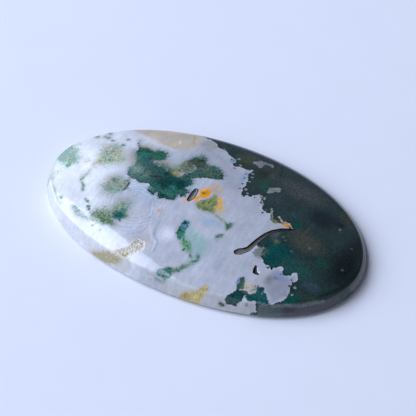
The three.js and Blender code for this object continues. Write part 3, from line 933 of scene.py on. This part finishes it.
STAIN = (190, 180, 150)
STAIN_SHAPES = [
    # olive fan, its streaks and its ochre border
    area((112, 130, 96), [
        (-0.8, -1.3), (-0.45, -0.7), (-0.1, -0.3), (0.3, 0.15), (0.5, 0.7), (0.85, 0.65), (1, 0.3),
        (1.4, 0), (1.7, -0.5), (1.8, -1), (1.7, -1.45), (1.3, -1.75), (0.6, -1.85), (0, -1.8),
        (-0.5, -1.6),
    ], soft=0.22, grit=0.3),
    *lines(0.05, 0.25, [
        ((84, 108, 60), [(0.3, -1.5), (0.0, -1.0), (0.0, -0.5)]),
        ((76, 98, 56), [(0.4, -1.5), (0.45, -0.8), (0.5, -0.1)]),
        ((80, 104, 66), [(0.6, -1.5), (0.9, -1.0), (1.1, -0.5)]),
        ((84, 108, 90), [(0.7, -1.5), (1.1, -1.3), (1.4, -1.1)]),
        ((150, 156, 118), [(0.35, -1.2), (0.25, -0.7), (0.25, -0.2)]),
        ((156, 156, 110), [(0.6, -1.1), (0.75, -0.5), (0.8, 0.2)]),
        ((148, 160, 130), [(0.0, -1.45), (-0.25, -1.1), (-0.35, -0.9)]),
        ((140, 152, 118), [(0.9, -1.35), (1.25, -0.9), (1.4, -0.6)]),
    ], cover=False),
    spot((190, 172, 126), 1.9, -0.8, 0.5, 0.6, soft=0.4, dense=0.7, grit=0.15),
    strand((208, 170, 88), 0.22, [
        (1.2, 0.4), (1.6, 0.05), (1.8, -0.4), (1.9, -0.9),
    ], soft=0.2, grit=0.15),
    # orange spot with its hook and its dark core
    area((216, 154, 44), [
        (-1.15, 0.4), (-1.1, 0.8), (-0.8, 1), (-0.45, 1.2), (-0.15, 1.05), (-0.02, 0.7), (0, 0.35),
        (-0.15, 0.05), (-0.35, -0.2), (-0.75, -0.38), (-0.8, -0.6), (-0.98, -0.85), (-1.3, -0.88),
        (-1.42, -0.65), (-1.2, -0.4), (-0.95, -0.2), (-1, 0.05),
    ], soft=(0.14, 0.2), grit=0.15),
    *tints([
        ((206, 136, 10), -0.3, 0.85, 0.25, 0.25, 0.15),
        ((218, 172, 70), -0.92, 0.85, 0.2, 0.2, 0.12),
        ((206, 140, 14), -1.1, -0.65, 0.2, 0.15, 0.1),
        ((112, 96, 24), -0.7, 0.38, 0.2, 0.15, 0.08),
    ]),
    spot((216, 162, 84), -1.85, -1.42, 0.2, 0.12, soft=0.08),
    spot((206, 150, 98), -3.85, -3.9, 0.2, 0.17, soft=0.1),
    # in the dark end
    spot((198, 144, 64), 9.1, 1.0, 0.38, 0.24, soft=0.1, grit=0.35),
    spot((120, 121, 86), 7.85, 0.82, 0.3, 0.2, soft=0.12),
    # beside the big patch, below the middle, and at the near edge
    spot((146, 140, 84), -4.9, 1.7, 0.3, 0.12, soft=0.15),
    spot((178, 178, 160), 9.3, -7.9, 0.4, 0.35, soft=0.35, dense=0.6, grit=0.15),
    area((166, 158, 122), [
        (4.6, -10.6), (4.7, -10.3), (5, -10.1), (5.1, -9.8), (5.45, -9.85), (5.6, -10.2),
        *on_wall([(5.3, 0.3), (5.05, 0.9), (4.9, 1.6), (4.8, 2.5), (2.4, 2.5), (2.6, 1.5), (2.95, 1.35),
                  (2.9, 1.1), (3.2, 0.75), (3.7, 0.6), (3.95, 0.35), (4.2, 0.45)]),
    ], soft=0.15, grit=0.25),
    *tints([
        ((170, 166, 128), 5.3, -9.95, 0.2, 0.15, 0.12),
        ((146, 136, 92), 3.3, -11.9, 0.5, 0.4, 0.3),
        ((168, 163, 118), 4.6, -11.5, 0.35, 0.6, 0.25),
    ]),
    area((146, 144, 120), on_wall([
        (-8.6, 1.6), (-7.8, 1.0), (-6.9, 0.5), (-6.1, 0.1), (-5.2, 0.05), (-4.9, 0.5), (-5.3, 1.2),
        (-6.2, 1.8), (-8, 2.2),
    ]), soft=0.3, dense=0.85, grit=0.2),
    # the crystal field and the stains in it
    CRUST,
    *marks((150, 140, 104), 0.1, [
        (-5.4, -10.1), (-5.0, -9.8), (-4.75, -9.5), (-4.5, -9.9), (-5.7, -10.4),
    ], soft=0.12),
    *marks((168, 164, 140), 0.09, [
        (-4.1, -8.6), (-3.8, -8.9), (-3.6, -8.4), (-4.3, -9.1),
    ], soft=0.1, cover=False),
    spot((150, 146, 60), -4.7, -10.3, 0.3, 0.2, soft=0.12),
    spot((140, 132, 82), -3.78, -9.45, 0.08, 0.2, soft=0.08),
]


class Layer(NamedTuple):
    """One pigment in the stone."""

    name: str
    colour: tuple
    shapes: list
    hues: tuple  # how far its red, green and blue drift
    grainy: float = 1.0
    veil: float = 0.0  # the haze outside its edges
    fringe: float = 0.0  # the pale fringe outside its inked edges
    pepper: float = 0.0  # its dark specks


# From the lowest to the uppermost
LAYERS = [
    Layer("moss", MOSS, MOSS_SHAPES, (0.6, 0.25, 0.3), grainy=1.9, veil=0.4, fringe=0.5, pepper=1.8),
    Layer("dark", DARK, DARK_SHAPES, (0.3, 0.2, 0.25), grainy=1.1, fringe=0.2, pepper=0.6),
    Layer("island", ISLAND, ISLAND_SHAPES, (0.2, 0.1, 0.1)),
    Layer("stain", STAIN, STAIN_SHAPES, (0.1, 0.15, 0.3), veil=0.3),
]


def near_shape(shape, places):
    """Which places are near enough to a shape for it to reach them."""
    margin = FAR_AWAY + max(shape.size)
    points = np.asarray(shape.points, float)
    return np.all((places > points.min(0) - margin) & (places < points.max(0) + margin), axis=1)


def shape_share(shape, places, ground=0.0):
    """How much of each place a shape's colour takes, how deep the place lies in it, and the blur there."""
    depth, soft = shape.measure(shape, places)
    blur = np.maximum(soft, LEAST_BLUR)
    return smooth(0.5 + (depth - ground) / (2 * blur))[:, None], depth, soft


def mixed(below, above, share):
    return below * (1 - share) + above * share


def paint_milk(places):
    """The milky ground's colour at each place, painted darker on the steep wall as painted shade."""
    tint = np.tile(own_colour(MILK), (len(places), 1))
    for shape in MILK_SHADES:
        close = near_shape(shape, places)
        share, _, _ = shape_share(shape, places[close])
        tint[close] = mixed(tint[close], own_colour(shape.colour), share)
    # painted shade: the milk on the steep wall is painted darker than the dome's
    share, _ = dome_share(places)
    outside = (share - 1) * np.hypot(places[:, 0], places[:, 1])
    return tint * (1 - WALL_PAINTED_SHADE * smooth(outside / WALL_PAINTED_SHADE_BLUR))[:, None]


def paint_layer(places, layer):
    """A layer's colour at each place, its zone there: depth inside, blur, and strength of the dark rim,
    and its grains: the share that they fill, and their contrast."""
    tint = np.tile(own_colour(layer.colour), (len(places), 1))
    zone = np.tile([-FAR_AWAY, 0.1, 0.0], (len(places), 1))
    grains = np.tile([1.0, GRIT, 0.0], (len(places), 1))
    for shape in layer.shapes:
        close = near_shape(shape, places)
        ground = np.minimum(zone[close, 0], 0) if shape.cover else 0.0
        share, depth, soft = shape_share(shape, places[close], ground)
        tint[close] = mixed(tint[close], own_colour(shape.colour), share)
        grains[close] = mixed(grains[close], np.array([shape.dense, shape.grit, 0.0]), share)
        if shape.cover:
            here = zone[close]
            deeper = depth > here[:, 0]
            ink = shape.ink * np.clip(1 - soft / UNINKED_BLUR, 0, 1)
            here[deeper] = np.stack([depth, soft, ink], -1)[deeper]
            zone[close] = here
    return tint, zone, grains


def openings(places):
    """How deep each place lies in the dark line of painted shade round a hollow, in the hollow, and in the
    crystal crust.
    """
    line = np.full(len(places), -FAR_AWAY)
    hollow = line.copy()
    for route, _ in HOLLOWS:
        distance, half = groove(places, route)
        line = np.maximum(line, RIM_SHADE_WIDTH - np.abs(distance - half - RIM_SHADE_OUTSIDE))
        hollow = np.maximum(hollow, half - distance)
    crust, _ = CRUST.measure(CRUST, places)
    return np.stack([line, hollow, crust], -1)


# Mesh


def disc_grid(columns, rows):
    """A rectangular grid pressed evenly onto a disc: each point's share of the radius and its angle, the
    quads, and the points of the rim."""
    u, v = np.meshgrid(np.linspace(-1, 1, columns + 1), np.linspace(-1, 1, rows + 1))
    wide = np.abs(u) > np.abs(v)
    across = np.where(wide, v, u)
    reach = np.where(wide, u, v)
    ratio = across / np.where(reach == 0, 1, reach)
    angle = np.where(wide, ratio, 2 - ratio) * math.pi / 4
    angle = np.where(reach < 0, angle + math.pi, angle)
    number = np.arange((columns + 1) * (rows + 1)).reshape(rows + 1, columns + 1)
    corners = [number[:-1, :-1], number[:-1, 1:], number[1:, 1:], number[1:, :-1]]
    quads = np.stack(corners, -1).reshape(-1, 4)
    rim = np.concatenate([number[0, :-1], number[:-1, -1], number[-1, :0:-1], number[:0:-1, 0]])
    return np.abs(reach).ravel(), angle.ravel(), quads, rim


def edge_middle(edge):
    """The middle of a grid's edge, seen from above."""
    start, end = (vertex.co for vertex in edge.verts)
    return (start.x + end.x) / 2, (start.y + end.y) / 2


def refine(plan, quads):
    """Cuts the grid finer beside the hollows and the crust, and keeps the numbers of its points."""
    grid = bmesh.new()
    made = [grid.verts.new((x, y, 0)) for x, y in plan]
    for quad in quads:
        grid.faces.new([made[i] for i in quad])
    middles = np.array([edge_middle(edge) for edge in grid.edges])
    near = CRUST.measure(CRUST, middles)[0] > -FINE_REACH
    for route, _ in HOLLOWS:
        distance, half = groove(middles, route)
        near |= distance < half + FINE_REACH
    edges = [edge for edge, wanted in zip(list(grid.edges), near) if wanted and not edge.is_boundary]
    bmesh.ops.subdivide_edges(grid, edges=edges, cuts=FINE_CUTS, use_grid_fill=True)
    grid.verts.index_update()
    points = np.array([vertex.co[:2] for vertex in grid.verts])
    faces = [[vertex.index for vertex in face.verts] for face in grid.faces]
    grid.free()
    return points, faces


def crystal_facets(places):
    """Flat facets of random slope, one for each scattered seed point."""
    random = np.random.default_rng(CRYSTAL_SEED)
    cells = np.floor(places / CRYSTAL_SIZE).astype(int)
    jitter = random.uniform(*CRYSTAL_JITTER, (CRYSTAL_TABLE, CRYSTAL_TABLE, 2))
    tilt = random.uniform(-1, 1, (CRYSTAL_TABLE, CRYSTAL_TABLE, 3)) * CRYSTAL_TILT
    nearest = np.full(len(places), np.inf)
    height = np.zeros(len(places))
    for i in (-1, 0, 1):
        for j in (-1, 0, 1):
            cell = cells + (i, j)
            row, column = (cell % CRYSTAL_TABLE).T
            gap = places - (cell + jitter[row, column]) * CRYSTAL_SIZE
            distance = np.hypot(gap[:, 0], gap[:, 1])
            slope = tilt[row, column]
            closer = distance < nearest
            nearest[closer] = distance[closer]
            height[closer] = (gap * slope[:, :2]).sum(1)[closer] + slope[closer, 2]
    return height


def sink_hollows(plan, height):
    """Lowers the dome where a hollow opens it, and lays the crust's crystals in their shallow bed."""
    for route, depth in HOLLOWS:
        distance, half = groove(plan, route)
        height = height - depth * np.sqrt(np.clip(1 - (distance / half) ** 2, 0, None))
    crust = smooth(CRUST.measure(CRUST, plan)[0] / CRUST_BLUR)
    return height - crust * np.maximum(CRUST_DEPTH - crystal_facets(plan), 0)


def rounded(before, corner, after, reach):
    """Rings that turn a corner between two rings along a small curve."""
    def towards(ring):
        step = ring - corner
        return corner + step * reach / np.linalg.norm(step, axis=-1, keepdims=True)

    first, last = towards(before), towards(after)
    shares = np.linspace(0, 1, ROUNDING_ROWS + 1)
    return [first * (1 - s) ** 2 + corner * 2 * s * (1 - s) + last * s**2 for s in shares]


def wall_rings(t):
    """Rings from the dome's last one round the crease, down the wall, round the widest line to the back."""
    def ring(plan, height):
        return np.column_stack([plan, np.broadcast_to(height, len(plan))])

    crease_plan = crease_ring(t)
    crease = ring(crease_plan, crease_height(t))
    dome = ring(crease_plan * DOME_GUIDE, dome_height(crease_plan * DOME_GUIDE))
    girdle = ring(inset_ring(t, 0), GIRDLE_HEIGHT)
    back = ring(inset_ring(t, BACK_INSET), 0)
    floor = ring(inset_ring(t, BACK_GUIDE), 0)
    rounding = CREASE_ROUNDING + CREASE_ROUNDING_FAR * np.maximum(np.sin(t), 0)[:, None]
    top = rounded(dome, crease, girdle, rounding)
    turn = rounded(crease, girdle, back, GIRDLE_ROUNDING)
    shares = [row / WALL_ROWS for row in range(1, WALL_ROWS)]
    wall = [top[-1] * (1 - share) + turn[0] * share for share in shares]
    return top + wall + turn + rounded(girdle, back, floor, BACK_ROUNDING)


def unrolled(rings, t):
    """Where each ring's points lie when the wall is laid out flat round the dome."""
    direction = outward(t)
    places = [rings[0][:, :2]]
    for before, after in zip(rings, rings[1:]):
        length = np.linalg.norm(after - before, axis=-1, keepdims=True)
        places.append(places[-1] + direction * length)
    return places


def strip(before, after):
    """Quads between two loops of point numbers, facing out where the skin runs on from one to the next."""
    count = len(before)
    return [[before[i], after[i], after[(i + 1) % count], before[(i + 1) % count]] for i in range(count)]


def back_places(plan, share, rim_growth):
    """The pattern's place for each point of the back: it joins the wall's at the rim and wanders inside."""
    grown = plan * (1 + rim_growth * share[:, None] ** 4)
    sideways = np.sin(plan[:, 1] * BACK_WAVE_X + BACK_WAVE_X_START)
    drift = np.stack([sideways, np.cos(plan[:, 0] * BACK_WAVE_Y)], -1)
    return grown + BACK_DRIFT * drift * (1 - share[:, None] ** 2)


class Skin:
    """Points, pattern places and faces of the closed skin, which grows from the dome down to the back."""

    def __init__(self):
        self.points = []
        self.places = []
        self.faces = []
        self.count = 0

    def add(self, points, places):
        """Adds points, and gives their numbers."""
        numbers = np.arange(self.count, self.count + len(points))
        self.points.append(points)
        self.places.append(places)
        self.count += len(points)
        return numbers

    def add_dome(self, share, t, quads, rim, first_ring):
        """Adds the dome, with its rim on the wall's first ring."""
        rim_reach = np.linalg.norm(first_ring[:, :2], axis=-1)
        rim_share = rim_reach / np.linalg.norm(crease_ring(t[rim]), axis=-1)
        order = np.argsort(t[rim])
        reach = np.interp(t, t[rim][order], rim_share[order], period=2 * math.pi)
        plan, self.faces = refine(crease_ring(t) * (share * reach)[:, None], quads)
        points = np.column_stack([plan, sink_hollows(plan, dome_height(plan))])
        points[rim] = first_ring
        plan[rim] = first_ring[:, :2]
        self.add(points, plan)

    def add_wall(self, loop, rings, places):
        """Adds the rings below a loop of points, and gives the last loop."""
        for ring, place in zip(rings, places):
            lower = self.add(ring, place)
            self.faces += strip(loop, lower)
            loop = lower
        return loop

    def add_back(self, loop, outline):
        """Adds the flat back's coarser grid, and the seam between it and the last loop."""
        share, t, quads, rim = disc_grid(COLUMNS // BACK_STEP, ROWS // BACK_STEP)
        rim_reach = np.linalg.norm(self.points[-1][:, :2], axis=-1)
        reach = rim_reach.min() / np.linalg.norm(outline, axis=-1).min()
        plan = inset_ring(t, BACK_INSET) * (share * reach * BACK_GRID_SHARE)[:, None]
        growth = np.mean(np.linalg.norm(self.places[-1], axis=-1) / rim_reach) - 1
        points = np.column_stack([plan, np.zeros(len(plan))])
        numbers = self.add(points, back_places(plan, share, growth))
        self.faces += [[numbers[i] for i in reversed(quad)] for quad in quads]
        inner = numbers[rim]
        for i in range(len(inner)):
            fine = [loop[(i * BACK_STEP + k) % len(loop)] for k in range(BACK_STEP + 1)]
            self.faces.append([*reversed(fine), inner[i], inner[(i + 1) % len(inner)]])


def build_skin():
    """Points, faces and pattern places of the whole stone."""
    share, t, quads, rim = disc_grid(COLUMNS, ROWS)
    rings = wall_rings(t[rim])
    skin = Skin()
    skin.add_dome(share, t, quads, rim, rings[0])
    loop = skin.add_wall(rim, rings[1:], unrolled(rings, t[rim])[1:])
    skin.add_back(loop, inset_ring(t[rim], BACK_INSET))
    return np.concatenate(skin.points), skin.faces, np.concatenate(skin.places)


def add_attribute(mesh, name, values):
    attribute = mesh.attributes.new(name, "FLOAT_VECTOR", "POINT")
    attribute.data.foreach_set("vector", np.ascontiguousarray(values, np.float32).ravel())


def add_object(name, made):
    """Puts new data into the scene as an object."""
    shown = bpy.data.objects.new(name, made)
    bpy.context.scene.collection.objects.link(shown)
    return shown


def make_stone():
    points, faces, places = build_skin()
    mesh = bpy.data.meshes.new("cabochon_stone")
    mesh.from_pydata(points * MM, [], faces)
    mesh.update()
    mesh.shade_smooth()
    add_attribute(mesh, "milk_tint", paint_milk(places))
    for layer in LAYERS:
        tint, zone, grains = paint_layer(places, layer)
        add_attribute(mesh, layer.name + "_tint", tint)
        add_attribute(mesh, layer.name + "_zone", zone)
        add_attribute(mesh, layer.name + "_grains", grains)
    on_top = points[:, 2:] > GIRDLE_HEIGHT
    add_attribute(mesh, "openings", np.where(on_top, openings(places), -FAR_AWAY))
    return add_object("cabochon_stone", mesh)


# Material


class Wiring:
    """Makes and links the nodes of one tree."""

    def __init__(self, tree):
        self.tree = tree
        tree.nodes.clear()

    def node(self, kind, inputs=None, **settings):
        made = self.tree.nodes.new(kind)
        for name, value in settings.items():
            setattr(made, name, value)
        for socket, value in (inputs or {}).items():
            if isinstance(value, bpy.types.NodeSocket):
                self.tree.links.new(value, made.inputs[socket])
            else:
                made.inputs[socket].default_value = value
        return made

    def math(self, operation, *values):
        return self.node("ShaderNodeMath", dict(enumerate(values)), operation=operation).outputs[0]

    def vector(self, operation, *values):
        return self.node("ShaderNodeVectorMath", dict(enumerate(values)), operation=operation).outputs[0]

    def millimetres(self):
        """The place on the object, in millimetres."""
        metres = self.node("ShaderNodeTexCoord").outputs["Object"]
        inputs = {0: metres, 3: 1 / MM}
        return self.node("ShaderNodeVectorMath", inputs, operation="SCALE").outputs[0]

    def attribute(self, name):
        return self.node("ShaderNodeAttribute", attribute_name=name).outputs["Vector"]

    def split(self, vector):
        return self.node("ShaderNodeSeparateXYZ", {"Vector": vector}).outputs

    def ramp(self, value, low, high, start=0.0, end=1.0):
        """A smooth step from start to end while value goes from low to high."""
        inputs = {"Value": value, "From Min": low, "From Max": high, "To Min": start, "To Max": end}
        return self.node("ShaderNodeMapRange", inputs, interpolation_type="SMOOTHSTEP").outputs[0]

    def blend(self, share, below, above, kind="MIX"):
        inputs = {0: share, 6: as_colour(below), 7: as_colour(above)}
        return self.node("ShaderNodeMix", inputs, data_type="RGBA", blend_type=kind).outputs[2]

    def noise(self, place, per_mm, detail=3.0, rough=0.55):
        """Noise between about -1 and 1, with a given number of bumps in a millimetre."""
        inputs = {"Vector": place, "Scale": per_mm, "Detail": detail, "Roughness": rough}
        value = self.node("ShaderNodeTexNoise", inputs).outputs["Fac"]
        return self.math("MULTIPLY_ADD", value, 4.0, -2.0)

    def lobes(self, place, per_mm):
        """Round bumps, 1 in their middles and falling to about -1 between them."""
        distance = self.node("ShaderNodeTexVoronoi", {"Vector": place, "Scale": per_mm}).outputs["Distance"]
        return self.math("MULTIPLY_ADD", distance, -2.2, 1.0)


def as_colour(value):
    if isinstance(value, bpy.types.NodeSocket):
        return value
    return (*value, 1.0)


def lighter(wiring, colour, amount, noise):
    """Colour made lighter and darker by noise, as a factor whose logarithm is noise times amount."""
    factor = wiring.math("EXPONENT", wiring.math("MULTIPLY", noise, amount))
    factor = wiring.math("MINIMUM", factor, GRAIN_CAP)
    grey = wiring.node("ShaderNodeCombineXYZ", {0: factor, 1: factor, 2: factor}).outputs[0]
    return wiring.blend(1.0, colour, grey, kind="MULTIPLY")


class Textures:
    """The noises that all layers share, in millimetres of the stone."""

    def __init__(self, wiring):
        self.place = wiring.millimetres()
        self.teeth = wiring.noise(self.place, *TEETH_NOISE)
        self.lobes = wiring.lobes(self.place, LOBES_PER_MM)
        self.grain = wiring.noise(self.place, *GRAIN_NOISE)
        self.dust = wiring.noise(self.place, *DUST_NOISE)
        self.pepper = wiring.ramp(wiring.noise(self.place, *PEPPER_NOISE), *PEPPER_RANGE)
        self.clouds = wiring.noise(self.place, *CLOUD_NOISE)
        hues = {"Vector": self.place, "Scale": HUES_PER_MM, "Detail": HUES_DETAIL}
        self.hue = wiring.node("ShaderNodeTexNoise", hues).outputs["Color"]
        speckle = wiring.math("MULTIPLY_ADD", self.dust, LEVEL_DUST, self.grain)
        self.level = wiring.ramp(speckle, *LEVEL_RANGE)


def tinged(wiring, colour, hue, amounts):
    """Colour whose red, green and blue drift apart slowly, each by its own amount."""
    centred = wiring.vector("ADD", hue, (-0.5, -0.5, -0.5))
    factor = wiring.vector("MULTIPLY_ADD", centred, amounts, (1.0, 1.0, 1.0))
    return wiring.blend(1.0, colour, factor, kind="MULTIPLY")


def layer_tint(wiring, textures, layer, grit):
    """A layer's own colour, with its grains, its drift of hue and its dark specks."""
    relief = wiring.math("MULTIPLY_ADD", textures.clouds, GRAIN_CLOUDS, textures.grain)
    relief = wiring.math("MULTIPLY", wiring.math("ADD", textures.dust, relief), layer.grainy)
    tint = lighter(wiring, wiring.attribute(layer.name + "_tint"), grit, relief)
    tint = tinged(wiring, tint, textures.hue, layer.hues)
    specks = wiring.math("MULTIPLY", wiring.math("MULTIPLY", textures.pepper, grit), layer.pepper)
    return wiring.blend(specks, tint, own_colour(INK_AND_SHADE))


def beside_edge(wiring, layer, below, tint, reach, soft, ink):
    """What lies below a layer, with the layer's fringe and veil outside its edges."""
    if layer.fringe:
        band = wiring.math("MULTIPLY", wiring.ramp(reach, *FRINGE_EDGE), ink)
        below = wiring.blend(wiring.math("MULTIPLY", band, layer.fringe), below, own_colour(FLOOR_SEEN))
    if layer.veil:
        wide = wiring.math("MULTIPLY_ADD", soft, -VEIL_BLURS, -VEIL_MORE)
        haze = wiring.ramp(reach, wide, wiring.math("MULTIPLY", soft, 0.5), 0.0, layer.veil)
        below = wiring.blend(haze, below, tint)
    return below


def pigment(wiring, textures, below, layer):
    """Lays one layer's colour over what is below it, as grains, with lobed edges and a broken dark rim."""
    depth, soft, ink = wiring.split(wiring.attribute(layer.name + "_zone"))
    dense, grit, _ = wiring.split(wiring.attribute(layer.name + "_grains"))
    tint = layer_tint(wiring, textures, layer, grit)
    ragged = wiring.math("MULTIPLY_ADD", soft, EDGE_RAGGED_BLUR, EDGE_RAGGED)
    reach = wiring.math("MULTIPLY_ADD", textures.teeth, ragged, depth)
    reach = wiring.math("MULTIPLY_ADD", wiring.math("MULTIPLY", textures.lobes, EDGE_LOBES), ink, reach)
    inside_edge = wiring.ramp(reach, wiring.math("MULTIPLY", soft, -1.0), soft)
    filled = wiring.math("MULTIPLY", inside_edge, dense)
    margin = wiring.math("MULTIPLY_ADD", filled, 1 + 2 * GRAIN_CLEARNESS, -1 - GRAIN_CLEARNESS)
    level = wiring.math("ADD", textures.level, margin)
    cover = wiring.ramp(level, -GRAIN_CLEARNESS, GRAIN_CLEARNESS)
    below = beside_edge(wiring, layer, below, tint, reach, soft, ink)
    broken = wiring.ramp(textures.teeth, *RIM_BREAKS, RIM_WEAKEST, 1.0)
    rim = wiring.math("MULTIPLY", wiring.ramp(reach, *RIM_EDGE, 1.0, 0.0), ink)
    tint = wiring.blend(wiring.math("MULTIPLY", rim, broken), tint, own_colour(INK_AND_SHADE))
    return wiring.blend(cover, below, tint)


def rings_of_growth(wiring, textures):
    """Fine rings round one place, between -1 and 1, and fading out at both ends."""
    flat = wiring.vector("MULTIPLY", textures.place, (1.0, 1.0, 0.0))
    inputs = {0: flat, 1: RING_MIDDLE}
    radius = wiring.node("ShaderNodeVectorMath", inputs, operation="DISTANCE").outputs["Value"]
    phase = wiring.math("MULTIPLY", radius, 2 * math.pi / RING_SPACING)
    wave = wiring.math("SINE", wiring.math("MULTIPLY_ADD", textures.clouds, RING_WAVER, phase))
    inner = wiring.ramp(radius, RING_START, RING_START + RING_FADE_IN)
    outer = wiring.ramp(radius, RING_END - RING_FADE_OUT, RING_END, 1.0, 0.0)
    return wiring.math("MULTIPLY", wave, wiring.math("MULTIPLY", inner, outer))


def milk(wiring, textures):
    """Milky chalcedony with clouds, faint tinges, rings and wisps."""
    colour = lighter(wiring, wiring.attribute("milk_tint"), MILK_CLOUDS, textures.clouds)
    colour = lighter(wiring, colour, MILK_GRAINS, textures.grain)
    colour = lighter(wiring, colour, MILK_RINGS, rings_of_growth(wiring, textures))
    colour = tinged(wiring, colour, textures.hue, MILK_HUES)
    turned = {"Vector": textures.place, "Rotation": (0, 0, WISP_TURN), "Scale": WISP_SCALE}
    stretched = wiring.node("ShaderNodeMapping", turned).outputs[0]
    return lighter(wiring, colour, MILK_WISPS, wiring.noise(stretched, *WISP_NOISE))


def new_material(name):
    """A material, and the wiring of its empty node tree."""
    material = bpy.data.materials.new(name)
    material.use_nodes = True
    return material, Wiring(material.node_tree)


def finish_material(wiring, inputs):
    shader = wiring.node("ShaderNodeBsdfPrincipled", inputs)
    wiring.node("ShaderNodeOutputMaterial", {"Surface": shader.outputs[0]})


def agate_material():
    material, wiring = new_material("polished_moss_agate")
    textures = Textures(wiring)
    colour = milk(wiring, textures)
    for layer in LAYERS:
        colour = pigment(wiring, textures, colour, layer)
    line, hollow, crust = wiring.split(wiring.attribute("openings"))
    colour = wiring.blend(wiring.ramp(hollow, *HOLLOW_FLOOR_EDGE), colour, own_colour(HOLLOW_FLOOR))
    # painted shade: a dark line along each hollow's rim, where its walls fall away
    line = wiring.math("MULTIPLY_ADD", textures.teeth, RIM_SHADE_RAGGED, line)
    colour = wiring.blend(wiring.ramp(line, *RIM_SHADE_EDGE), colour, own_colour(INK_AND_SHADE))
    crust = wiring.math("MULTIPLY_ADD", textures.teeth, CRUST_RAGGED, crust)
    crusted = wiring.ramp(crust, *CRUST_EDGE)
    finish_material(wiring, {
        "Base Color": colour,
        "Roughness": wiring.math("MULTIPLY_ADD", crusted, CRUST_ROUGHNESS, POLISH_ROUGHNESS),
        "IOR": AGATE_IOR,
        "Subsurface Weight": SCATTER_SHARE,
        "Subsurface Radius": (1.0, 1.0, 1.0),
        "Subsurface Scale": SCATTER_DEPTH * MM,
    })
    return material


# Studio

LIGHT_TINT = linear(FLOOR_SEEN) / linear(FLOOR_SEEN).max()


def make_camera():
    back = Vector((
        math.sin(CAMERA_AZIMUTH) * math.cos(CAMERA_ELEVATION),
        -math.cos(CAMERA_AZIMUTH) * math.cos(CAMERA_ELEVATION),
        math.sin(CAMERA_ELEVATION),
    ))
    lens = bpy.data.cameras.new("camera")
    lens.sensor_width = SENSOR
    lens.lens = LENS
    lens.clip_start, lens.clip_end = CAMERA_CLIP
    camera = add_object("camera", lens)
    camera.location = (Vector(CAMERA_AIM) + back * CAMERA_DISTANCE) * MM
    camera.rotation_euler = back.to_track_quat("Z", "Y").to_euler()
    bpy.context.scene.camera = camera


def make_floor():
    half = FLOOR_HALF * MM
    low = BOX_LOW[2]
    corners = [(-half, -half, low), (half, -half, low), (half, half, low), (-half, half, low)]
    mesh = bpy.data.meshes.new("floor")
    mesh.from_pydata(corners, [], [(0, 1, 2, 3)])
    material, wiring = new_material("pale_floor")
    mottle = wiring.noise(wiring.millimetres(), *FLOOR_NOISE)
    colour = lighter(wiring, (WHITE, WHITE, WHITE), FLOOR_MOTTLE, mottle)
    finish_material(wiring, {"Base Color": colour, "Roughness": FLOOR_ROUGHNESS, "IOR": FLOOR_IOR})
    mesh.materials.append(material)
    floor = add_object("floor", mesh)


def make_window():
    """A large soft window above the left end, whose edge the near flank of the dome mirrors."""
    start = Vector(WINDOW_EDGE_FROM).normalized()
    end = Vector(WINDOW_EDGE_TO).normalized()
    along = (end - start).normalized()
    mirrored = (start + end).normalized()
    away = mirrored.cross(along).normalized()
    if away.z > 0:
        away = -away
    middle = (mirrored + away * WINDOW_REACH / 2).normalized()
    half_angle = math.acos(min(1, middle.dot(mirrored)))
    light = bpy.data.lights.new("window", "AREA")
    light.shape = "RECTANGLE"
    light.size = WINDOW_DISTANCE * MM * (end - start).length * WINDOW_WIDENING
    light.size_y = WINDOW_DISTANCE * MM * 2 * math.tan(half_angle)
    light.color = LIGHT_TINT
    light.energy = WINDOW_BRIGHTNESS * math.pi * light.size * light.size_y
    side = middle.cross(along).normalized()
    turn = Matrix((side.cross(middle), side, middle)).transposed().to_4x4()
    window = add_object("window", light)
    window.matrix_world = Matrix.Translation(middle * WINDOW_DISTANCE * MM) @ turn


def make_room():
    """A dim even room, with a glow behind the left end and a broad one on the camera's side."""
    world = bpy.data.worlds.new("room")
    world.use_nodes = True
    bpy.context.scene.world = world
    wiring = Wiring(world.node_tree)
    direction = wiring.node("ShaderNodeTexCoord").outputs["Generated"]
    strength = ROOM_BRIGHTNESS
    for axis, half_angle, brightness in ROOM_GLOWS:
        towards = tuple(Vector(axis).normalized())
        facing = wiring.node("ShaderNodeVectorMath", {0: direction, 1: towards}, operation="DOT_PRODUCT")
        edge = math.cos(math.radians(half_angle))
        glow = wiring.ramp(facing.outputs["Value"], edge, 1.0, 0.0, brightness)
        strength = wiring.math("ADD", strength, glow)
    background = wiring.node("ShaderNodeBackground", {"Color": (*LIGHT_TINT, 1.0), "Strength": strength})
    wiring.node("ShaderNodeOutputWorld", {"Surface": background.outputs[0]})


stone = make_stone()
stone.data.materials.append(agate_material())
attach(stone, "root")
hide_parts("cabochon")

make_floor()
make_window()
make_room()
make_camera()
bpy.context.scene.view_settings.view_transform = "Standard"
